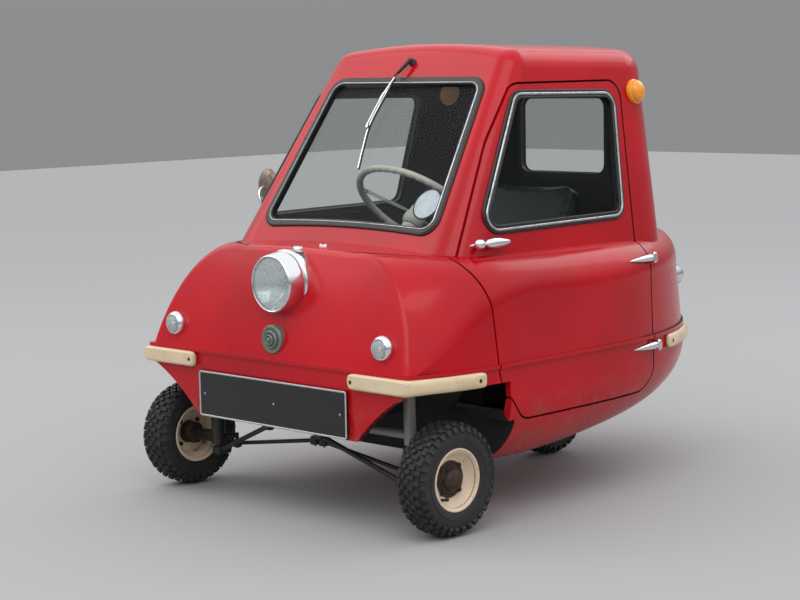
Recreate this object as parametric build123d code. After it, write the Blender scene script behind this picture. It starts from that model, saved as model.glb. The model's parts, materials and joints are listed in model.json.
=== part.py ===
"""Three-wheeled single-seat microcar: moulded body, one rear-hinged door, steered front wheels.

Millimetres. The nose faces -Y, +Z is up, and +X is the car's left, where the door is.
The origin is on the ground, under the middle of the car's length and width.
"""
from build123d import *

import math
import os

# ---- driving dimensions ----
BODY_WALL = 16.0          # moulded shell, as thick as its double skin
FLANGE_Z = 365.0          # joint line between the lower and the upper moulding
FLANGE_PROUD = 6.0        # how far the joint lip stands out
FLANGE_HIGH = 9.0
ROOF_Z = 1086.0
CAB_FOOT_Z = 560.0        # where the cab walls start, hidden in the tub's shoulder
CAB_TOP_Z = 1100.0        # above the roof, which trims the cab walls
ROOF_ROUND = 56.0
ROOF_CROWN_R = 2250.0
TUB_CROWN_R = 4500.0
CAB_BACK_Y = 385.0
CAB_REAR_CORNER = 167.0    # plan radius at SIDE_Z
CAB_CORNER_TAPER = 0.09    # and how much it shrinks for each mm up
ROOF_TILT = 1.2            # degrees, down towards the back
ROOF_TILT_Y = -150.0

SCREEN_FOOT = (-428.0, 646.0)    # y, z at the bottom corners of the windscreen rubber
SCREEN_HEAD = (-197.0, 1000.0)   # y, z at its top corners
SCREEN_HALF_LOW = 297.0
SCREEN_HALF_HIGH = 257.0
SCREEN_ARCH = 13.0               # how far its lower edge rises in the middle
SIDE_X = 385.0                   # cab side at SIDE_Z
SIDE_Z = 660.0
SIDE_LEAN = 0.1935               # inward lean of the cab side for each mm up
PILLAR = 8.0                    # windscreen rubber to the start of the corner round
SEAL_WIDE = 15.0
SEAL_PROUD = 5.0
GLASS_THICK = 4.0

WHEEL_R = 128.0
TYRE_WIDE = 78.0
RIM_R = 70.7
TRACK_HALF = 446.0
FRONT_AXLE_Y = -554.0
REAR_AXLE_Y = 300.0
KINGPIN_X = 335.0
ARM_IN = 20.0                    # steering arm eye, inboard of the kingpin
ARM_BACK = 44.0                  # and behind it
ARM_Z = 108.0
DROP_ARM = 70.0
WHEEL_POINT = (-170.0, 680.0)    # y, z of the steering wheel's centre
COLUMN_TILT = math.radians(40.9)  # column axis from vertical
COLUMN_LONG = 618.0
STEER_RIM_R = 165.0

PLATE_WIDE = 512.0
PLATE_HIGH = 110.0
PLATE_THICK = 4.0
PLATE_TOP_Z = 318.0
TAIL_Y = 686.0                   # how far back the grab handle reaches
DOOR_GAP = 5.0

DOOR_LIP = 24.0                  # the door's front edge, inboard of the cab side
SCREEN_CORNER = 45.0
SIDE_WINDOW = ((-378.0, 650.0), (-184.0, 969.0), (186.0, 963.0), (149.0, 656.0))  # y, z of its rubber
SIDE_CORNER = 40.0
REAR_WINDOW_Z = 842.0
REAR_WINDOW_WIDE = 316.0
REAR_WINDOW_HIGH = 228.0
REAR_CORNER = 42.0
GLASS_DEEP = 3.0

RIM_SEAT = 62.0                  # where the tyre's bead sits
LUGS = 24                        # round each tyre, in each row
LUG_HIGH = 5.5
LUG_ROWS = [dict(zip(("across", "rise", "lean", "wide", "long", "deep"), row)) for row in (
    (-31.5, -6.0, -50.0, 13.0, 15.0, 12.0),
    (0.0, 1.5, 0.0, 24.0, 13.0, 8.0),
    (31.5, -6.0, 50.0, 13.0, 15.0, 12.0),
)]
STUB_R = 10.0
FIT = 0.4                        # running clearance on a radius
PIVOT_R = 8.5
PIN_R = 3.2
COLUMN_R = 9.0
COLUMN_PLAY = 6.0                # round the column where it passes the floor
COLUMN_FOOT = (WHEEL_POINT[0] - COLUMN_LONG * math.sin(COLUMN_TILT),
               WHEEL_POINT[1] - COLUMN_LONG * math.cos(COLUMN_TILT))
STEER_TUBE_R = 10.0
HUB_R = 21.0
BALL_X = 15.0                    # the two tie rods' inner eyes, each side of the drop arm
BALL_PLAY = 6.0
INNER_EYE_R, OUTER_EYE_R = 12.0, 11.0

HEADLAMP = (-660.0, 541.0)       # y, z of the lens edge
HEADLAMP_R = 72.0
LENS_R = 64.0
LENS_DOME_R = 190.0
LENS_BULGE = 11.0
SIDE_LAMP_X = 358.0
SIDE_LAMP = (-662.0, 421.0)
SIDE_LAMP_R = 30.0
HORN = (-664.0, 412.0)
HORN_R = 34.0
BUMPER_PROUD = 18.0              # ahead of the nose, and beside the flanks
BUMPER_SIDE = 15.0
BUMPER_LOW = 325.0
BUMPER_HIGH = 360.0
BUMPER_IN = 268.0
BUMPER_END_Y = -470.0
REAR_BUMPER_IN = 150.0
REAR_BUMPER_Y = 250.0
PLATE_Y = -674.0
REAR_PLATE = (230.0, 150.0)
REAR_PLATE_Z = 440.0
GRIP_HALF = 60.0
GRIP_R = 6.0
GRIP_Z = 545.0
TAIL_LAMP = (200.0, 465.0)
TAIL_LAMP_Y = 612.0
TAIL_LAMP_R = 28.0
LAMP_ROOT = 40.0                 # how deep a lamp's foot starts, before the body trims it
INDICATOR = (324.0, 269.0, 958.0)    # on the cab's rear corner
INDICATOR_TURN = 10.0                # degrees that it faces back from square to the side
INDICATOR_R = 31.0
INDICATOR_BASE = 6.0
INDICATOR_LONG = 26.0
WIPER_POINTS = ((0.0, 455.0), (-62.0, 290.0), (-30.0, 150.0))   # on the screen: across, up
WIPER_LIFT = 12.0
MIRROR = (-438.0, -268.0, 730.0)
MIRROR_R = 45.0
HANDLE = (-393.0, 628.0)         # y, z of its boss
BOSS_R, BOSS_STEM_R = 13.0, 5.5
LEVER_LIFT = 17.0                # its centre line, off the door
LEVER_FRONT, LEVER_FRONT_R = 42.0, 12.0   # behind the boss
LEVER_TIP, LEVER_TIP_R = 104.0, 4.0
HINGE_LOW = (470.0, 180.0, 345.0)
HINGE_HIGH = (457.0, 180.0, 559.0)
HINGE_R = 7.0
HINGE_REACH = (0.8, -98.0, 0.0)     # from the pin to the strap's tip
HINGE_BOLTS = (0.60, 0.88)          # where its bolts are, as shares of its reach
HINGE_BOLT_R, HINGE_BOLT_LONG = 1.9, 11.0
BEAM_HALF = 150.0
STRUT_FOOT = 190.0
STRUT_R = 14.0
LOWER_EYE_Z = 96.0
FORK_PIVOT = (118.0, 150.0)
FORK_X = 52.0
SEAT_FRONT = -110.0
SEAT_Z = 330.0
CABIN_FLOOR = 200.0
ENGINE = (-310.0, -175.0, 60.0, 230.0, 235.0, 385.0)

# Body stations along the car: place, half width, underside, crown, width and height of the
# shoulder's round, the same of the bilge's, and how far the side leans in.
STATIONS = [dict(zip(("y", "half", "low", "crown", "sx", "sz", "bx", "bz", "lean"), row)) for row in (
    (-712, 440, 188, 612, 362, 248, 60, 90, 4),
    (-600, 460, 164, 618, 340, 225, 100, 150, 4),
    (-450, 484, 136, 620, 140, 130, 132, 176, 4),
    (-150, 480, 124, 619, 91, 90, 132, 176, 4),
    (190, 452, 166, 615, 70, 84, 130, 138, 8),
    (385, 380, 212, 608, 75, 80, 112, 96, 18),
    (515, 286, 252, 600, 78, 84, 88, 70, 26),
    (608, 170, 276, 590, 74, 84, 64, 55, 26),
    (650, 74, 300, 580, 44, 80, 36, 40, 14),
)]

# nose in side view: y, z from the apron's foot up over the leaning front face
APRON_FOOT = (-661.0, 180.0)
NOSE_JOINT = (-668.0, FLANGE_Z)
NOSE_MID = (-631.0, 488.0)
NOSE_BROW = (-569.0, 644.0)
BROW_ROUND = 18.0
BROW_EDGE = 200.0                # only edges longer than this are rounded
CLEAR = 800.0                    # blocks that cut right through reach this far from the middle


def node(name, shape):
    """Write one sub-part as its own STEP file."""
    shape.label = name
    export_step(shape, os.path.join("parts", name + ".step"))


def both_sides(shape):
    return shape + mirror(shape, about=Plane.YZ)


def across(point):
    """The same point of a section on the car's other side."""
    return (-point[0], point[1])


def rod(a, b, radius):
    """Round bar between two points."""
    start, end = Vector(*a), Vector(*b)
    along = end - start
    return extrude(Plane(origin=start, z_dir=along) * Circle(radius), amount=along.length)


def taper(a, b, radius, tip):
    """Round bar from a to b that narrows to tip."""
    line = Vector(*b) - Vector(*a)
    upright = (Align.CENTER, Align.CENTER, Align.MIN)
    return Plane(origin=a, z_dir=tuple(line)) * Cone(radius, tip, line.length, align=upright)


def axle_plane(x, y, z):
    """Plane whose normal runs along X, for wheels and anything round about an axle."""
    return Plane(origin=(x, y, z), x_dir=(0, 1, 0), z_dir=(1, 0, 0))


def slab(x0, x1, y0, y1, z0, z1):
    return Pos((x0 + x1) / 2, (y0 + y1) / 2, (z0 + z1) / 2) * Box(x1 - x0, y1 - y0, z1 - z0)


# ---- the tub: everything below the waist ----
ARC_MID = 1 - math.sqrt(0.5)     # how far the middle of a quarter round lies from its corner


def tub_section(s, inset):
    """Closed outline across the car at one station, of lines and arcs."""
    half, low, crown = s["half"] - inset, s["low"] + inset, s["crown"] - inset
    sx, sz, bx, bz, lean = s["sx"], s["sz"], s["bx"], s["bz"], s["lean"]
    edge_x = half - sx
    edge_z = crown - edge_x ** 2 / (2 * TUB_CROWN_R)
    foot, bilge = (half - bx, low), (half, low + bz)
    bilge_mid = (half - bx * ARC_MID, low + bz * ARC_MID)
    side = (half - lean, edge_z - sz)
    shoulder_mid = (half - lean - (sx - lean) * ARC_MID, edge_z - sz * ARC_MID)
    edge = (edge_x, edge_z)
    wire = Wire([
        Edge.make_line(across(foot), foot),
        Edge.make_three_point_arc(foot, bilge_mid, bilge),
        Edge.make_line(bilge, side),
        Edge.make_three_point_arc(side, shoulder_mid, edge),
        Edge.make_three_point_arc(edge, (0, crown), across(edge)),
        Edge.make_three_point_arc(across(edge), across(shoulder_mid), across(side)),
        Edge.make_line(across(side), across(bilge)),
        Edge.make_three_point_arc(across(bilge), across(bilge_mid), across(foot)),
    ])
    place = Plane(origin=(0, s["y"], 0), x_dir=(1, 0, 0), z_dir=(0, -1, 0))
    return place * make_face(wire)


def nose_cut(inset):
    """Everything behind the leaning front face."""
    back, foot = TAIL_Y + 40, 80.0
    low, joint, mid, brow = ((y + inset, z) for y, z in (APRON_FOOT, NOSE_JOINT, NOSE_MID, NOSE_BROW))
    wire = Wire([
        Edge.make_line(low, joint),
        Edge.make_three_point_arc(joint, mid, brow),
        Edge.make_line(brow, (back, brow[1])),
        Edge.make_line((back, brow[1]), (back, foot)),
        Edge.make_line((back, foot), (low[0], foot)),
        Edge.make_line((low[0], foot), low),
    ])
    side = Plane(origin=(-700, 0, 0), x_dir=(0, 1, 0), z_dir=(1, 0, 0))
    return extrude(side * make_face(wire), amount=1400)


def rounded_brow(body):
    """The tub with the edge round its leaning face made soft."""
    long_edges = [edge for edge in body.edges() if edge.length > BROW_EDGE]
    face_edges = [edge for edge in long_edges
                  if (edge @ 0.5).Y < NOSE_BROW[0] and (edge @ 0.5).Z > FLANGE_Z + FLANGE_HIGH]
    return fillet(face_edges, BROW_ROUND)


def tub(inset, nose_inset=None):
    """The tub's outer form, drawn in by inset, or out where it is negative."""
    hull = loft([tub_section(s, inset) for s in STATIONS])
    return hull & nose_cut(inset if nose_inset is None else nose_inset)


# ---- the cab: everything above the waist ----
SCREEN_SLOPE = (SCREEN_HEAD[0] - SCREEN_FOOT[0]) / (SCREEN_HEAD[1] - SCREEN_FOOT[1])
SCREEN_NARROW = (SCREEN_HALF_LOW - SCREEN_HALF_HIGH) / (SCREEN_HEAD[1] - SCREEN_FOOT[1])


def screen_y(z):
    return SCREEN_FOOT[0] + (z - SCREEN_FOOT[1]) * SCREEN_SLOPE


def side_x(z):
    return SIDE_X - (z - SIDE_Z) * SIDE_LEAN


def cab_section(z, inset):
    """Closed plan outline of the cab at one height."""
    front = screen_y(z) + inset * math.hypot(1, SCREEN_SLOPE)
    side = side_x(z) - inset * math.hypot(1, SIDE_LEAN)
    turn = SCREEN_HALF_LOW - (z - SCREEN_FOOT[1]) * SCREEN_NARROW + PILLAR - inset * 0.4
    rear = CAB_BACK_Y - inset
    corner = CAB_REAR_CORNER - (z - SIDE_Z) * CAB_CORNER_TAPER - inset
    nose_round = side - turn
    a, b = (turn, front), (side, front + nose_round)
    ab = (turn + nose_round * (1 - ARC_MID), front + nose_round * ARC_MID)
    c, d = (side, rear - corner), (side - corner, rear)
    cd = (side - corner * ARC_MID, rear - corner * ARC_MID)
    wire = Wire([
        Edge.make_line(across(a), a),
        Edge.make_three_point_arc(a, ab, b),
        Edge.make_line(b, c),
        Edge.make_three_point_arc(c, cd, d),
        Edge.make_line(d, across(d)),
        Edge.make_three_point_arc(across(d), across(cd), across(c)),
        Edge.make_line(across(c), across(b)),
        Edge.make_three_point_arc(across(b), across(ab), across(a)),
    ])
    return Plane.XY.offset(z) * make_face(wire)


def roof_cut(inset):
    """Everything under the crowned roof."""
    half, foot = 520.0, 100.0
    top = ROOF_Z - inset
    edge = top - half ** 2 / (2 * ROOF_CROWN_R)
    wire = Wire([
        Edge.make_three_point_arc((half, edge), (0, top), (-half, edge)),
        Edge.make_line((-half, edge), (-half, foot)),
        Edge.make_line((-half, foot), (half, foot)),
        Edge.make_line((half, foot), (half, edge)),
    ])
    place = Plane(origin=(0, TAIL_Y, 0), x_dir=(1, 0, 0), z_dir=(0, -1, 0))
    block = extrude(place * make_face(wire), amount=2 * TAIL_Y)
    return block.rotate(Axis((0, ROOF_TILT_Y, ROOF_Z), (1, 0, 0)), -ROOF_TILT)


def cab(inset):
    walls = loft([cab_section(CAB_FOOT_Z, inset), cab_section(CAB_TOP_Z, inset)], ruled=True)
    body = walls & roof_cut(inset)
    top = body.faces().sort_by(Axis.Z)[-1]
    return fillet(top.edges(), ROOF_ROUND - inset)


# ---- openings ----
BAY_TOP = 330.0            # front wheel arch
BAY_FLAT_Y = -536.0        # where its roof starts to come down
BAY_BEND = (-428.0, 268.0)
BAY_HEEL = (-362.0, 165.0)
BAY_BACK = BAY_HEEL[0]
BAY_IN = 205.0
UNDER_TOP = 236.0          # underside between the wheel bays
APRON_BACK = -645.0
APRON_LOW = 205.0
SLOT_HALF = 66.0           # rear wheel slot
SLOT_R = 148.0


def front_bays(grow):
    """Both front wheel bays, arched over the tyres, and the space under the footwell."""
    front, top, inner = APRON_BACK - grow, BAY_TOP + grow, BAY_IN - grow
    heel = (BAY_HEEL[0] + grow, BAY_HEEL[1])
    bend = (BAY_BEND[0] + grow * 0.8, BAY_BEND[1] + grow * 0.6)
    wire = Wire([
        Edge.make_line((front, -20), (front, top)),
        Edge.make_line((front, top), (BAY_FLAT_Y, top)),
        Edge.make_three_point_arc((BAY_FLAT_Y, top), bend, heel),
        Edge.make_line(heel, (heel[0], -20)),
        Edge.make_line((heel[0], -20), (front, -20)),
    ])
    side = Plane(origin=(inner, 0, 0), x_dir=(0, 1, 0), z_dir=(1, 0, 0))
    bay = extrude(side * make_face(wire), amount=600 - inner)
    under = slab(-600, 600, front, heel[0], -20, UNDER_TOP + grow)
    return both_sides(bay) + under


def apron_trim():
    """What is cut away beside and below the front apron, seen from the front."""
    place = Plane(origin=(0, BAY_BACK - 20, 0), x_dir=(1, 0, 0), z_dir=(0, -1, 0))
    wire = Wire([
        Edge.make_three_point_arc((275, APRON_LOW), (335, 262), (440, 326)),
        Edge.make_line((440, 326), (620, BAY_TOP)),
        Edge.make_line((620, BAY_TOP), (620, APRON_LOW)),
        Edge.make_line((620, APRON_LOW), (275, APRON_LOW)),
    ])
    side = extrude(place * make_face(wire), amount=400)
    return both_sides(side) + slab(-620, 620, -760, BAY_BACK - 20, -20, APRON_LOW)


def rear_slot(grow):
    round_part = extrude(axle_plane(-SLOT_HALF - grow, REAR_AXLE_Y, WHEEL_R) * Circle(SLOT_R + grow),
                         amount=2 * (SLOT_HALF + grow))
    reach = SLOT_R + grow
    return round_part + slab(-SLOT_HALF - grow, SLOT_HALF + grow, REAR_AXLE_Y - reach,
                             REAR_AXLE_Y + reach, -20, WHEEL_R)


# ---- the door ----
DOOR_SILL_Z = 236.0
DOOR_HEAD_Z = 986.0
DOOR_WAIST_Z = 600.0
DOOR_BACK_Y = 175.0        # its hinge edge, up to the waist
DOOR_HEAD_BACK_Y = 211.0   # and at its head


def door_outline():
    """Side view of the door: sloped screen pillar, upright hinge edge, rounded lower corners."""
    points = [
        (-458, 606), (-178, DOOR_HEAD_Z), (DOOR_HEAD_BACK_Y, DOOR_HEAD_Z), (DOOR_BACK_Y, DOOR_WAIST_Z),
        (DOOR_BACK_Y, DOOR_SILL_Z), (-336, DOOR_SILL_Z), (-412, 332), (-432, 500),
    ]
    rounds = [40, 38, 40, 300, 60, 50, 60, 120]
    face = make_face(Polyline(*points, close=True))
    for (y, z), r in zip(points, rounds):
        corner = face.vertices().sort_by_distance((y, z, 0))[0]
        face = fillet(corner, r)
    return face


def door_block(grow):
    """Space that holds the door: its side outline, outboard of a plane that follows the cab side."""
    face = door_outline()
    if grow:
        face = offset(face, amount=grow)
    side = Plane(origin=(235, 0, 0), x_dir=(0, 1, 0), z_dir=(1, 0, 0))
    block = extrude(side * face, amount=400)
    lip = DOOR_LIP + grow
    inner = Polyline((side_x(CAB_TOP_Z) - lip, CAB_TOP_Z), (side_x(600) - lip, 600), (side_x(600) - lip, 100),
                     (700, 100), (700, CAB_TOP_Z), close=True)
    place = Plane(origin=(0, 500, 0), x_dir=(1, 0, 0), z_dir=(0, -1, 0))
    return block & extrude(place * make_face(inner), amount=1100)


# ---- windows ----
def screen_plane():
    up = Vector(0, SCREEN_HEAD[0] - SCREEN_FOOT[0], SCREEN_HEAD[1] - SCREEN_FOOT[1]).normalized()
    return Plane(origin=(0, *SCREEN_FOOT), x_dir=(1, 0, 0), z_dir=(0, -up.Z, up.Y))


def screen_outline():
    tall = math.dist(SCREEN_FOOT, SCREEN_HEAD)
    low, high = SCREEN_HALF_LOW, SCREEN_HALF_HIGH
    wire = Wire([
        Edge.make_three_point_arc((-low, 0), (0, SCREEN_ARCH), (low, 0)),
        Edge.make_line((low, 0), (high, tall)),
        Edge.make_line((high, tall), (-high, tall)),
        Edge.make_line((-high, tall), (-low, 0)),
    ])
    face = make_face(wire)
    return fillet(face.vertices(), SCREEN_CORNER)


def side_plane():
    lean = math.atan(SIDE_LEAN)
    return Plane(origin=(SIDE_X, 0, SIDE_Z), x_dir=(0, 1, 0), z_dir=(math.cos(lean), 0, math.sin(lean)))


def side_outline():
    stretch = math.hypot(1, SIDE_LEAN)
    points = [(y, (z - SIDE_Z) * stretch) for y, z in SIDE_WINDOW]
    face = make_face(Polyline(*points, close=True))
    return fillet(face.vertices(), SIDE_CORNER)


def rear_plane():
    return Plane(origin=(0, CAB_BACK_Y, REAR_WINDOW_Z), x_dir=(-1, 0, 0), z_dir=(0, 1, 0))


def rear_outline():
    return RectangleRounded(REAR_WINDOW_WIDE, REAR_WINDOW_HIGH, REAR_CORNER)


def window(place, outline):
    """Hole, rubber and pane of one fixed window, on the outer face of its wall."""
    pane_face = offset(outline, amount=-SEAL_WIDE)
    deep = place.offset(-BODY_WALL - 12)
    hole = extrude(deep * outline, amount=BODY_WALL + 40)
    seal = extrude(place.offset(-12) * (outline - pane_face), amount=12 + SEAL_PROUD)
    pane = extrude(place.offset(-GLASS_DEEP - GLASS_THICK) * pane_face, amount=GLASS_THICK)
    return hole, seal, pane


# ---- wheels ----
def turned(points):
    """Solid of revolution about X from (radius, along X) points."""
    outline = make_face(Polyline(*[(x, r) for r, x in points], close=True))
    return revolve(outline, axis=Axis.X)


def ring_prism(radius, half):
    """Many-sided prism about X with a flat at the bottom; radius is to its flats."""
    place = Plane(origin=(-half, 0, 0), x_dir=(0, 0, 1), z_dir=(1, 0, 0)).rotated((180 / LUGS, 0, 0))
    return extrude(place * RegularPolygon(radius, LUGS, major_radius=False), amount=2 * half)


def tyre():
    """Knobbly tyre: flat-sided carcass with three rows of lugs."""
    half, crown = TYRE_WIDE / 2, WHEEL_R - LUG_HIGH
    edge = Plane.YZ.rotated((180 / LUGS, 0, 0))
    sections = [(-half, crown - 18), (-half + 3, crown - 6), (-half + 12, crown), (half - 12, crown),
                (half - 3, crown - 6), (half, crown - 18)]
    body = loft([edge.offset(x) * RegularPolygon(r, LUGS, major_radius=False) for x, r in sections], ruled=True)
    body = body - ring_prism(RIM_SEAT + FIT, half + 1)
    for sign in (-1, 1):
        body = body - Pos(sign * (29 + 10), 0, 0) * ring_prism(RIM_R + FIT, 10)
    lugs = []
    for step in range(LUGS):
        turn = Rot(360 * step / LUGS, 0, 0)
        for row in LUG_ROWS:
            block = Pos(0, 0, row["rise"]) * Rot(0, row["lean"], 0) * Box(row["wide"], row["long"], row["deep"])
            lugs.append(turn * Pos(row["across"], 0, crown) * block)
    return body + lugs


def rim():
    """Dished two-flange rim with its hub, outer side towards +X."""
    seat, edge, wall = RIM_SEAT, RIM_R, 4.0
    profile = [
        (edge, 29), (edge, 33), (seat - wall, 33), (seat - wall - 3, 24), (seat - wall - 8, -2), (30, -6),
        (26, 14), (STUB_R + FIT, 16), (STUB_R + FIT, -26), (26, -26), (30, -14), (seat - wall - 8, -8),
        (seat - wall, -24), (seat - wall, -33), (edge, -33), (edge, -29), (seat, -29), (seat, 29),
    ]
    return turned(profile)


def hub_cap():
    """Dark bearing cap over the stub's end."""
    return turned([(STUB_R + 7, 16), (STUB_R + 7, 22), (STUB_R + 3, 28), (0.0, 30), (0.0, 26), (STUB_R + 2, 24),
                   (STUB_R + 3, 16)])


# ---- the pieces ----
def joint_lip():
    """Flat plate whose rim stands proud along the joint between the two mouldings."""
    top = FLANGE_Z + FLANGE_HIGH / 2
    below = tub(-FLANGE_PROUD) & slab(-CLEAR, CLEAR, -CLEAR, CLEAR, 0, top)
    rim = below.faces().filter_by(GeomType.PLANE).sort_by(Axis.Z)[-1]
    return extrude(rim, amount=FLANGE_HIGH, dir=(0, 0, -1))


def build_body():
    outer = rounded_brow(tub(0)) + cab(0)
    lip = joint_lip() - outer
    inner = tub(BODY_WALL) + cab(BODY_WALL)
    inner = inner - front_bays(BODY_WALL) - rear_slot(BODY_WALL)
    shell = outer - inner - front_bays(0) - apron_trim() - rear_slot(0) + lip
    screen_hole, screen_seal, screen_pane = window(screen_plane(), screen_outline())
    side_hole, side_seal, side_pane = window(side_plane(), side_outline())
    rear_hole, rear_seal, rear_pane = window(rear_plane(), rear_outline())
    column = rod((0, *COLUMN_FOOT), (0, *WHEEL_POINT), COLUMN_R + COLUMN_PLAY)
    shell = shell - screen_hole - rear_hole - side_hole - mirror(side_hole, about=Plane.YZ)
    door = shell & door_block(0)
    body = shell - door_block(DOOR_GAP)
    floor = slab(-BAY_IN, BAY_IN, APRON_BACK, BAY_BACK, UNDER_TOP - BODY_WALL, UNDER_TOP + 3 * BODY_WALL)
    body = body - (column & floor)
    node("door_panel", door)
    node("lower_shell", body & slab(-CLEAR, CLEAR, -CLEAR, CLEAR, 0, FLANGE_Z))
    node("upper_shell", body & slab(-CLEAR, CLEAR, -CLEAR, CLEAR, FLANGE_Z, 2 * FLANGE_Z + CLEAR))
    right_seal, right_pane = mirror(side_seal, about=Plane.YZ), mirror(side_pane, about=Plane.YZ)
    node("fixed_window_seals", Compound(children=[*screen_seal.solids(), *right_seal.solids(), *rear_seal.solids()]))
    node("windscreen_glass", screen_pane)
    node("door_window_seal", side_seal)
    node("door_window_glass", side_pane)
    node("side_and_rear_glass", Compound(children=[*right_pane.solids(), *rear_pane.solids()]))
    return outer + lip


def build_front_lights(outer):
    y, z = HEADLAMP
    front = Plane(origin=(0, y, z), x_dir=(1, 0, 0), z_dir=(0, -1, 0))
    bowl = extrude(front.offset(-90) * Circle(HEADLAMP_R - 4), amount=78)
    ring = extrude(front.offset(-12) * (Circle(HEADLAMP_R) - Circle(LENS_R)), amount=14)
    lens = extrude(front.offset(-12) * Circle(LENS_R), amount=9)
    dome = Pos(0, y + 3 + LENS_DOME_R - LENS_BULGE, z) * Sphere(LENS_DOME_R)
    lens = lens + (dome & extrude(front.offset(-4) * Circle(LENS_R), amount=30))
    node("headlamp_shell", (bowl - outer) + ring)
    node("headlamp_lens", lens)
    y, z = SIDE_LAMP
    place = Plane(origin=(SIDE_LAMP_X, y, z), x_dir=(1, 0, 0), z_dir=(0, -1, 0))
    base = extrude(place.offset(-40) * Circle(SIDE_LAMP_R), amount=40) - outer
    glass = extrude(place * Circle(SIDE_LAMP_R - 6), amount=10)
    glass = fillet(glass.edges().group_by(Axis.Y)[0], 8)
    node("side_lamps", both_sides(base))
    node("side_lamp_lenses", both_sides(glass))
    y, z = HORN
    place = Plane(origin=(0, y, z), x_dir=(1, 0, 0), z_dir=(0, -1, 0))
    grille = extrude(place.offset(-30) * Circle(HORN_R), amount=30) - outer
    for ring_r in (26, 17, 8):
        grille = grille + extrude(place * (Circle(ring_r + 2) - Circle(ring_r - 2)), amount=3)
    node("horn_grille", grille)


def build_bumpers(outer):
    band = tub(-BUMPER_SIDE, -BUMPER_PROUD) & slab(-CLEAR, CLEAR, -CLEAR, CLEAR, BUMPER_LOW, BUMPER_HIGH)
    band = band - outer
    front = band & slab(BUMPER_IN, CLEAR, -CLEAR, BUMPER_END_Y, 0, CLEAR)
    rear = band & slab(REAR_BUMPER_IN, CLEAR, REAR_BUMPER_Y, CLEAR, 0, CLEAR)
    ends = [*both_sides(front).solids(), *both_sides(rear).solids()]
    node("bumpers", Compound(children=ends))


def build_plates(outer):
    plate = slab(-PLATE_WIDE / 2, PLATE_WIDE / 2, PLATE_Y, PLATE_Y + 30, PLATE_TOP_Z - PLATE_HIGH, PLATE_TOP_Z)
    backing = slab(-CLEAR, CLEAR, PLATE_Y + PLATE_THICK, 0, 0, CLEAR)
    front = plate - backing - outer
    tail = STATIONS[-1]["y"]
    rear = slab(-REAR_PLATE[0] / 2, REAR_PLATE[0] / 2, tail, tail + PLATE_THICK,
                REAR_PLATE_Z - REAR_PLATE[1] / 2, REAR_PLATE_Z + REAR_PLATE[1] / 2)
    node("number_plates", Compound(children=[*front.solids(), *rear.solids()]))
    half, reach, z = GRIP_HALF, TAIL_Y - GRIP_R, GRIP_Z
    grip = rod((-half, reach, z), (half, reach, z), GRIP_R)
    for x in (-half, half):
        grip = grip + rod((x, tail - 60, z), (x, reach, z), GRIP_R) + Pos(x, reach, z) * Sphere(GRIP_R)
    node("rear_grab_handle", grip - outer)


def build_rear_lights(outer):
    x, z = TAIL_LAMP
    place = Plane(origin=(x, 0, z), x_dir=(1, 0, 0), z_dir=(0, 1, 0))
    lamp = extrude(place.offset(TAIL_LAMP_Y - 80) * Circle(TAIL_LAMP_R), amount=80)
    lamp = fillet(lamp.edges().group_by(Axis.Y)[-1], 6)
    node("rear_lamps", both_sides(lamp - outer))
    turn = math.radians(INDICATOR_TURN)
    out = Vector(math.cos(turn), math.sin(turn), SIDE_LEAN).normalized()
    place = Plane(origin=INDICATOR, z_dir=tuple(out))
    base = extrude(place.offset(-LAMP_ROOT) * Circle(INDICATOR_R), amount=LAMP_ROOT + INDICATOR_BASE)
    dome = extrude(place * Circle(INDICATOR_R - 3), amount=INDICATOR_LONG)
    dome = fillet(dome.edges().sort_by(lambda e: e.center().dot(out))[-1], 9)
    node("rear_indicators", both_sides(base + dome - outer))


def build_wiper():
    place = screen_plane()
    at = lambda p, lift: place.location.position + place.x_dir * p[0] + place.y_dir * p[1] + place.z_dir * lift
    bracket, elbow, tip = (at(p, WIPER_LIFT) for p in WIPER_POINTS)
    foot = at(WIPER_POINTS[0], 0)
    arm = rod(tuple(bracket), tuple(elbow), 2.6) + rod(tuple(foot), tuple(bracket + place.z_dir * 6), 7)
    blade = rod(tuple(elbow), tuple(tip), 3.2)
    node("wiper", arm + blade)


def build_mirror(outer):
    x, y, z = MIRROR
    shell = extrude(Plane(origin=(x, y, z), x_dir=(1, 0, 0), z_dir=(0, -1, 0)) * Circle(MIRROR_R), amount=14)
    shell = fillet(shell.edges().group_by(Axis.Y)[0], 9)
    arm = rod((x, y - 6, z - 10), (-side_x(z - 60) + 30, y - 30, z - 60), 4) - outer
    node("wing_mirror", shell + arm)


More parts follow.
